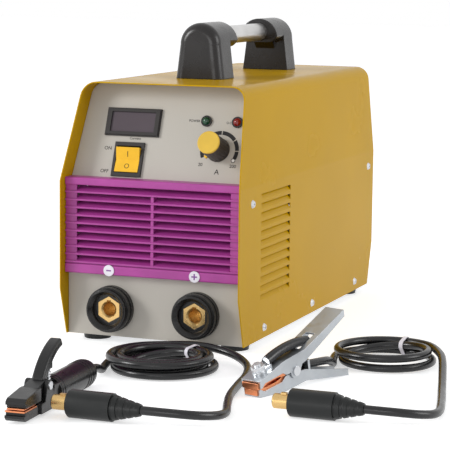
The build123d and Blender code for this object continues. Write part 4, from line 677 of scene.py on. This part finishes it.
FLOOR_HALF = 9.0
FLOOR_GREY = 0.86
FLOOR_GLOW = 0.54           # lifts the floor to white in the picture, and lights nothing
WORLD_TINT = (0.96, 0.98, 1.0)
WORLD_LIGHT = 0.56


def make_floor():
    mesh = bpy.data.meshes.new("floor")
    corners = [(x * FLOOR_HALF, y * FLOOR_HALF, 0) for x, y in ((-1, -1), (1, -1), (1, 1), (-1, 1))]
    mesh.from_pydata(corners, [], [(0, 1, 2, 3)])
    floor = bpy.data.objects.new("floor", mesh)
    bpy.context.scene.collection.objects.link(floor)
    material = bpy.data.materials.new("studio_floor")
    material.use_nodes = True
    tree = material.node_tree
    shader = tree.nodes["Principled BSDF"]
    shader.inputs["Base Color"].default_value = (FLOOR_GREY, FLOOR_GREY, FLOOR_GREY, 1)
    shader.inputs["Roughness"].default_value = 0.75
    shader.inputs["Specular IOR Level"].default_value = 0.2
    glow = tree.nodes.new("ShaderNodeEmission")
    glow.inputs["Strength"].default_value = FLOOR_GLOW
    both = tree.nodes.new("ShaderNodeAddShader")
    pick = tree.nodes.new("ShaderNodeMixShader")
    tree.links.new(shader.outputs["BSDF"], both.inputs[0])
    tree.links.new(glow.outputs["Emission"], both.inputs[1])
    tree.links.new(seen_rays(tree), pick.inputs["Fac"])
    tree.links.new(shader.outputs["BSDF"], pick.inputs[1])
    tree.links.new(both.outputs["Shader"], pick.inputs[2])
    tree.links.new(pick.outputs["Shader"], tree.nodes["Material Output"].inputs["Surface"])
    mesh.materials.append(material)


def make_world():
    world = bpy.data.worlds.new("studio")
    bpy.context.scene.world = world
    world.use_nodes = True
    tree = world.node_tree
    soft = tree.nodes["Background"]
    soft.inputs["Color"].default_value = (*WORLD_TINT, 1)
    soft.inputs["Strength"].default_value = WORLD_LIGHT
    white = tree.nodes.new("ShaderNodeBackground")
    white.inputs["Color"].default_value = (1, 1, 1, 1)
    pick = tree.nodes.new("ShaderNodeMixShader")
    tree.links.new(seen_rays(tree), pick.inputs["Fac"])
    tree.links.new(soft.outputs["Background"], pick.inputs[1])
    tree.links.new(white.outputs["Background"], pick.inputs[2])
    tree.links.new(pick.outputs["Shader"], tree.nodes["World Output"].inputs["Surface"])


def make_lamp(name, place, target, size, power):
    data = bpy.data.lights.new(name, "AREA")
    data.shape = "RECTANGLE"
    data.size, data.size_y = size
    data.energy = power
    lamp = bpy.data.objects.new(name, data)
    lamp.location = place
    way = Vector(target) - Vector(place)
    lamp.rotation_euler = way.to_track_quat("-Z", "Y").to_euler()
    bpy.context.scene.collection.objects.link(lamp)


make_floor()
make_world()
make_lamp("key", place=(-2.3, -1.9, 1.25), target=(0, -0.1, 0.12), size=(0.9, 1.1), power=52)
make_lamp("side", place=(2.7, 0.1, 1.2), target=(0.05, 0, 0.12), size=(1.4, 1.4), power=27)
make_lamp("front", place=(0.2, -3.2, 0.5), target=(0, 0, 0.1), size=(1.8, 0.8), power=13)

bpy.context.scene.view_settings.view_transform = "Standard"
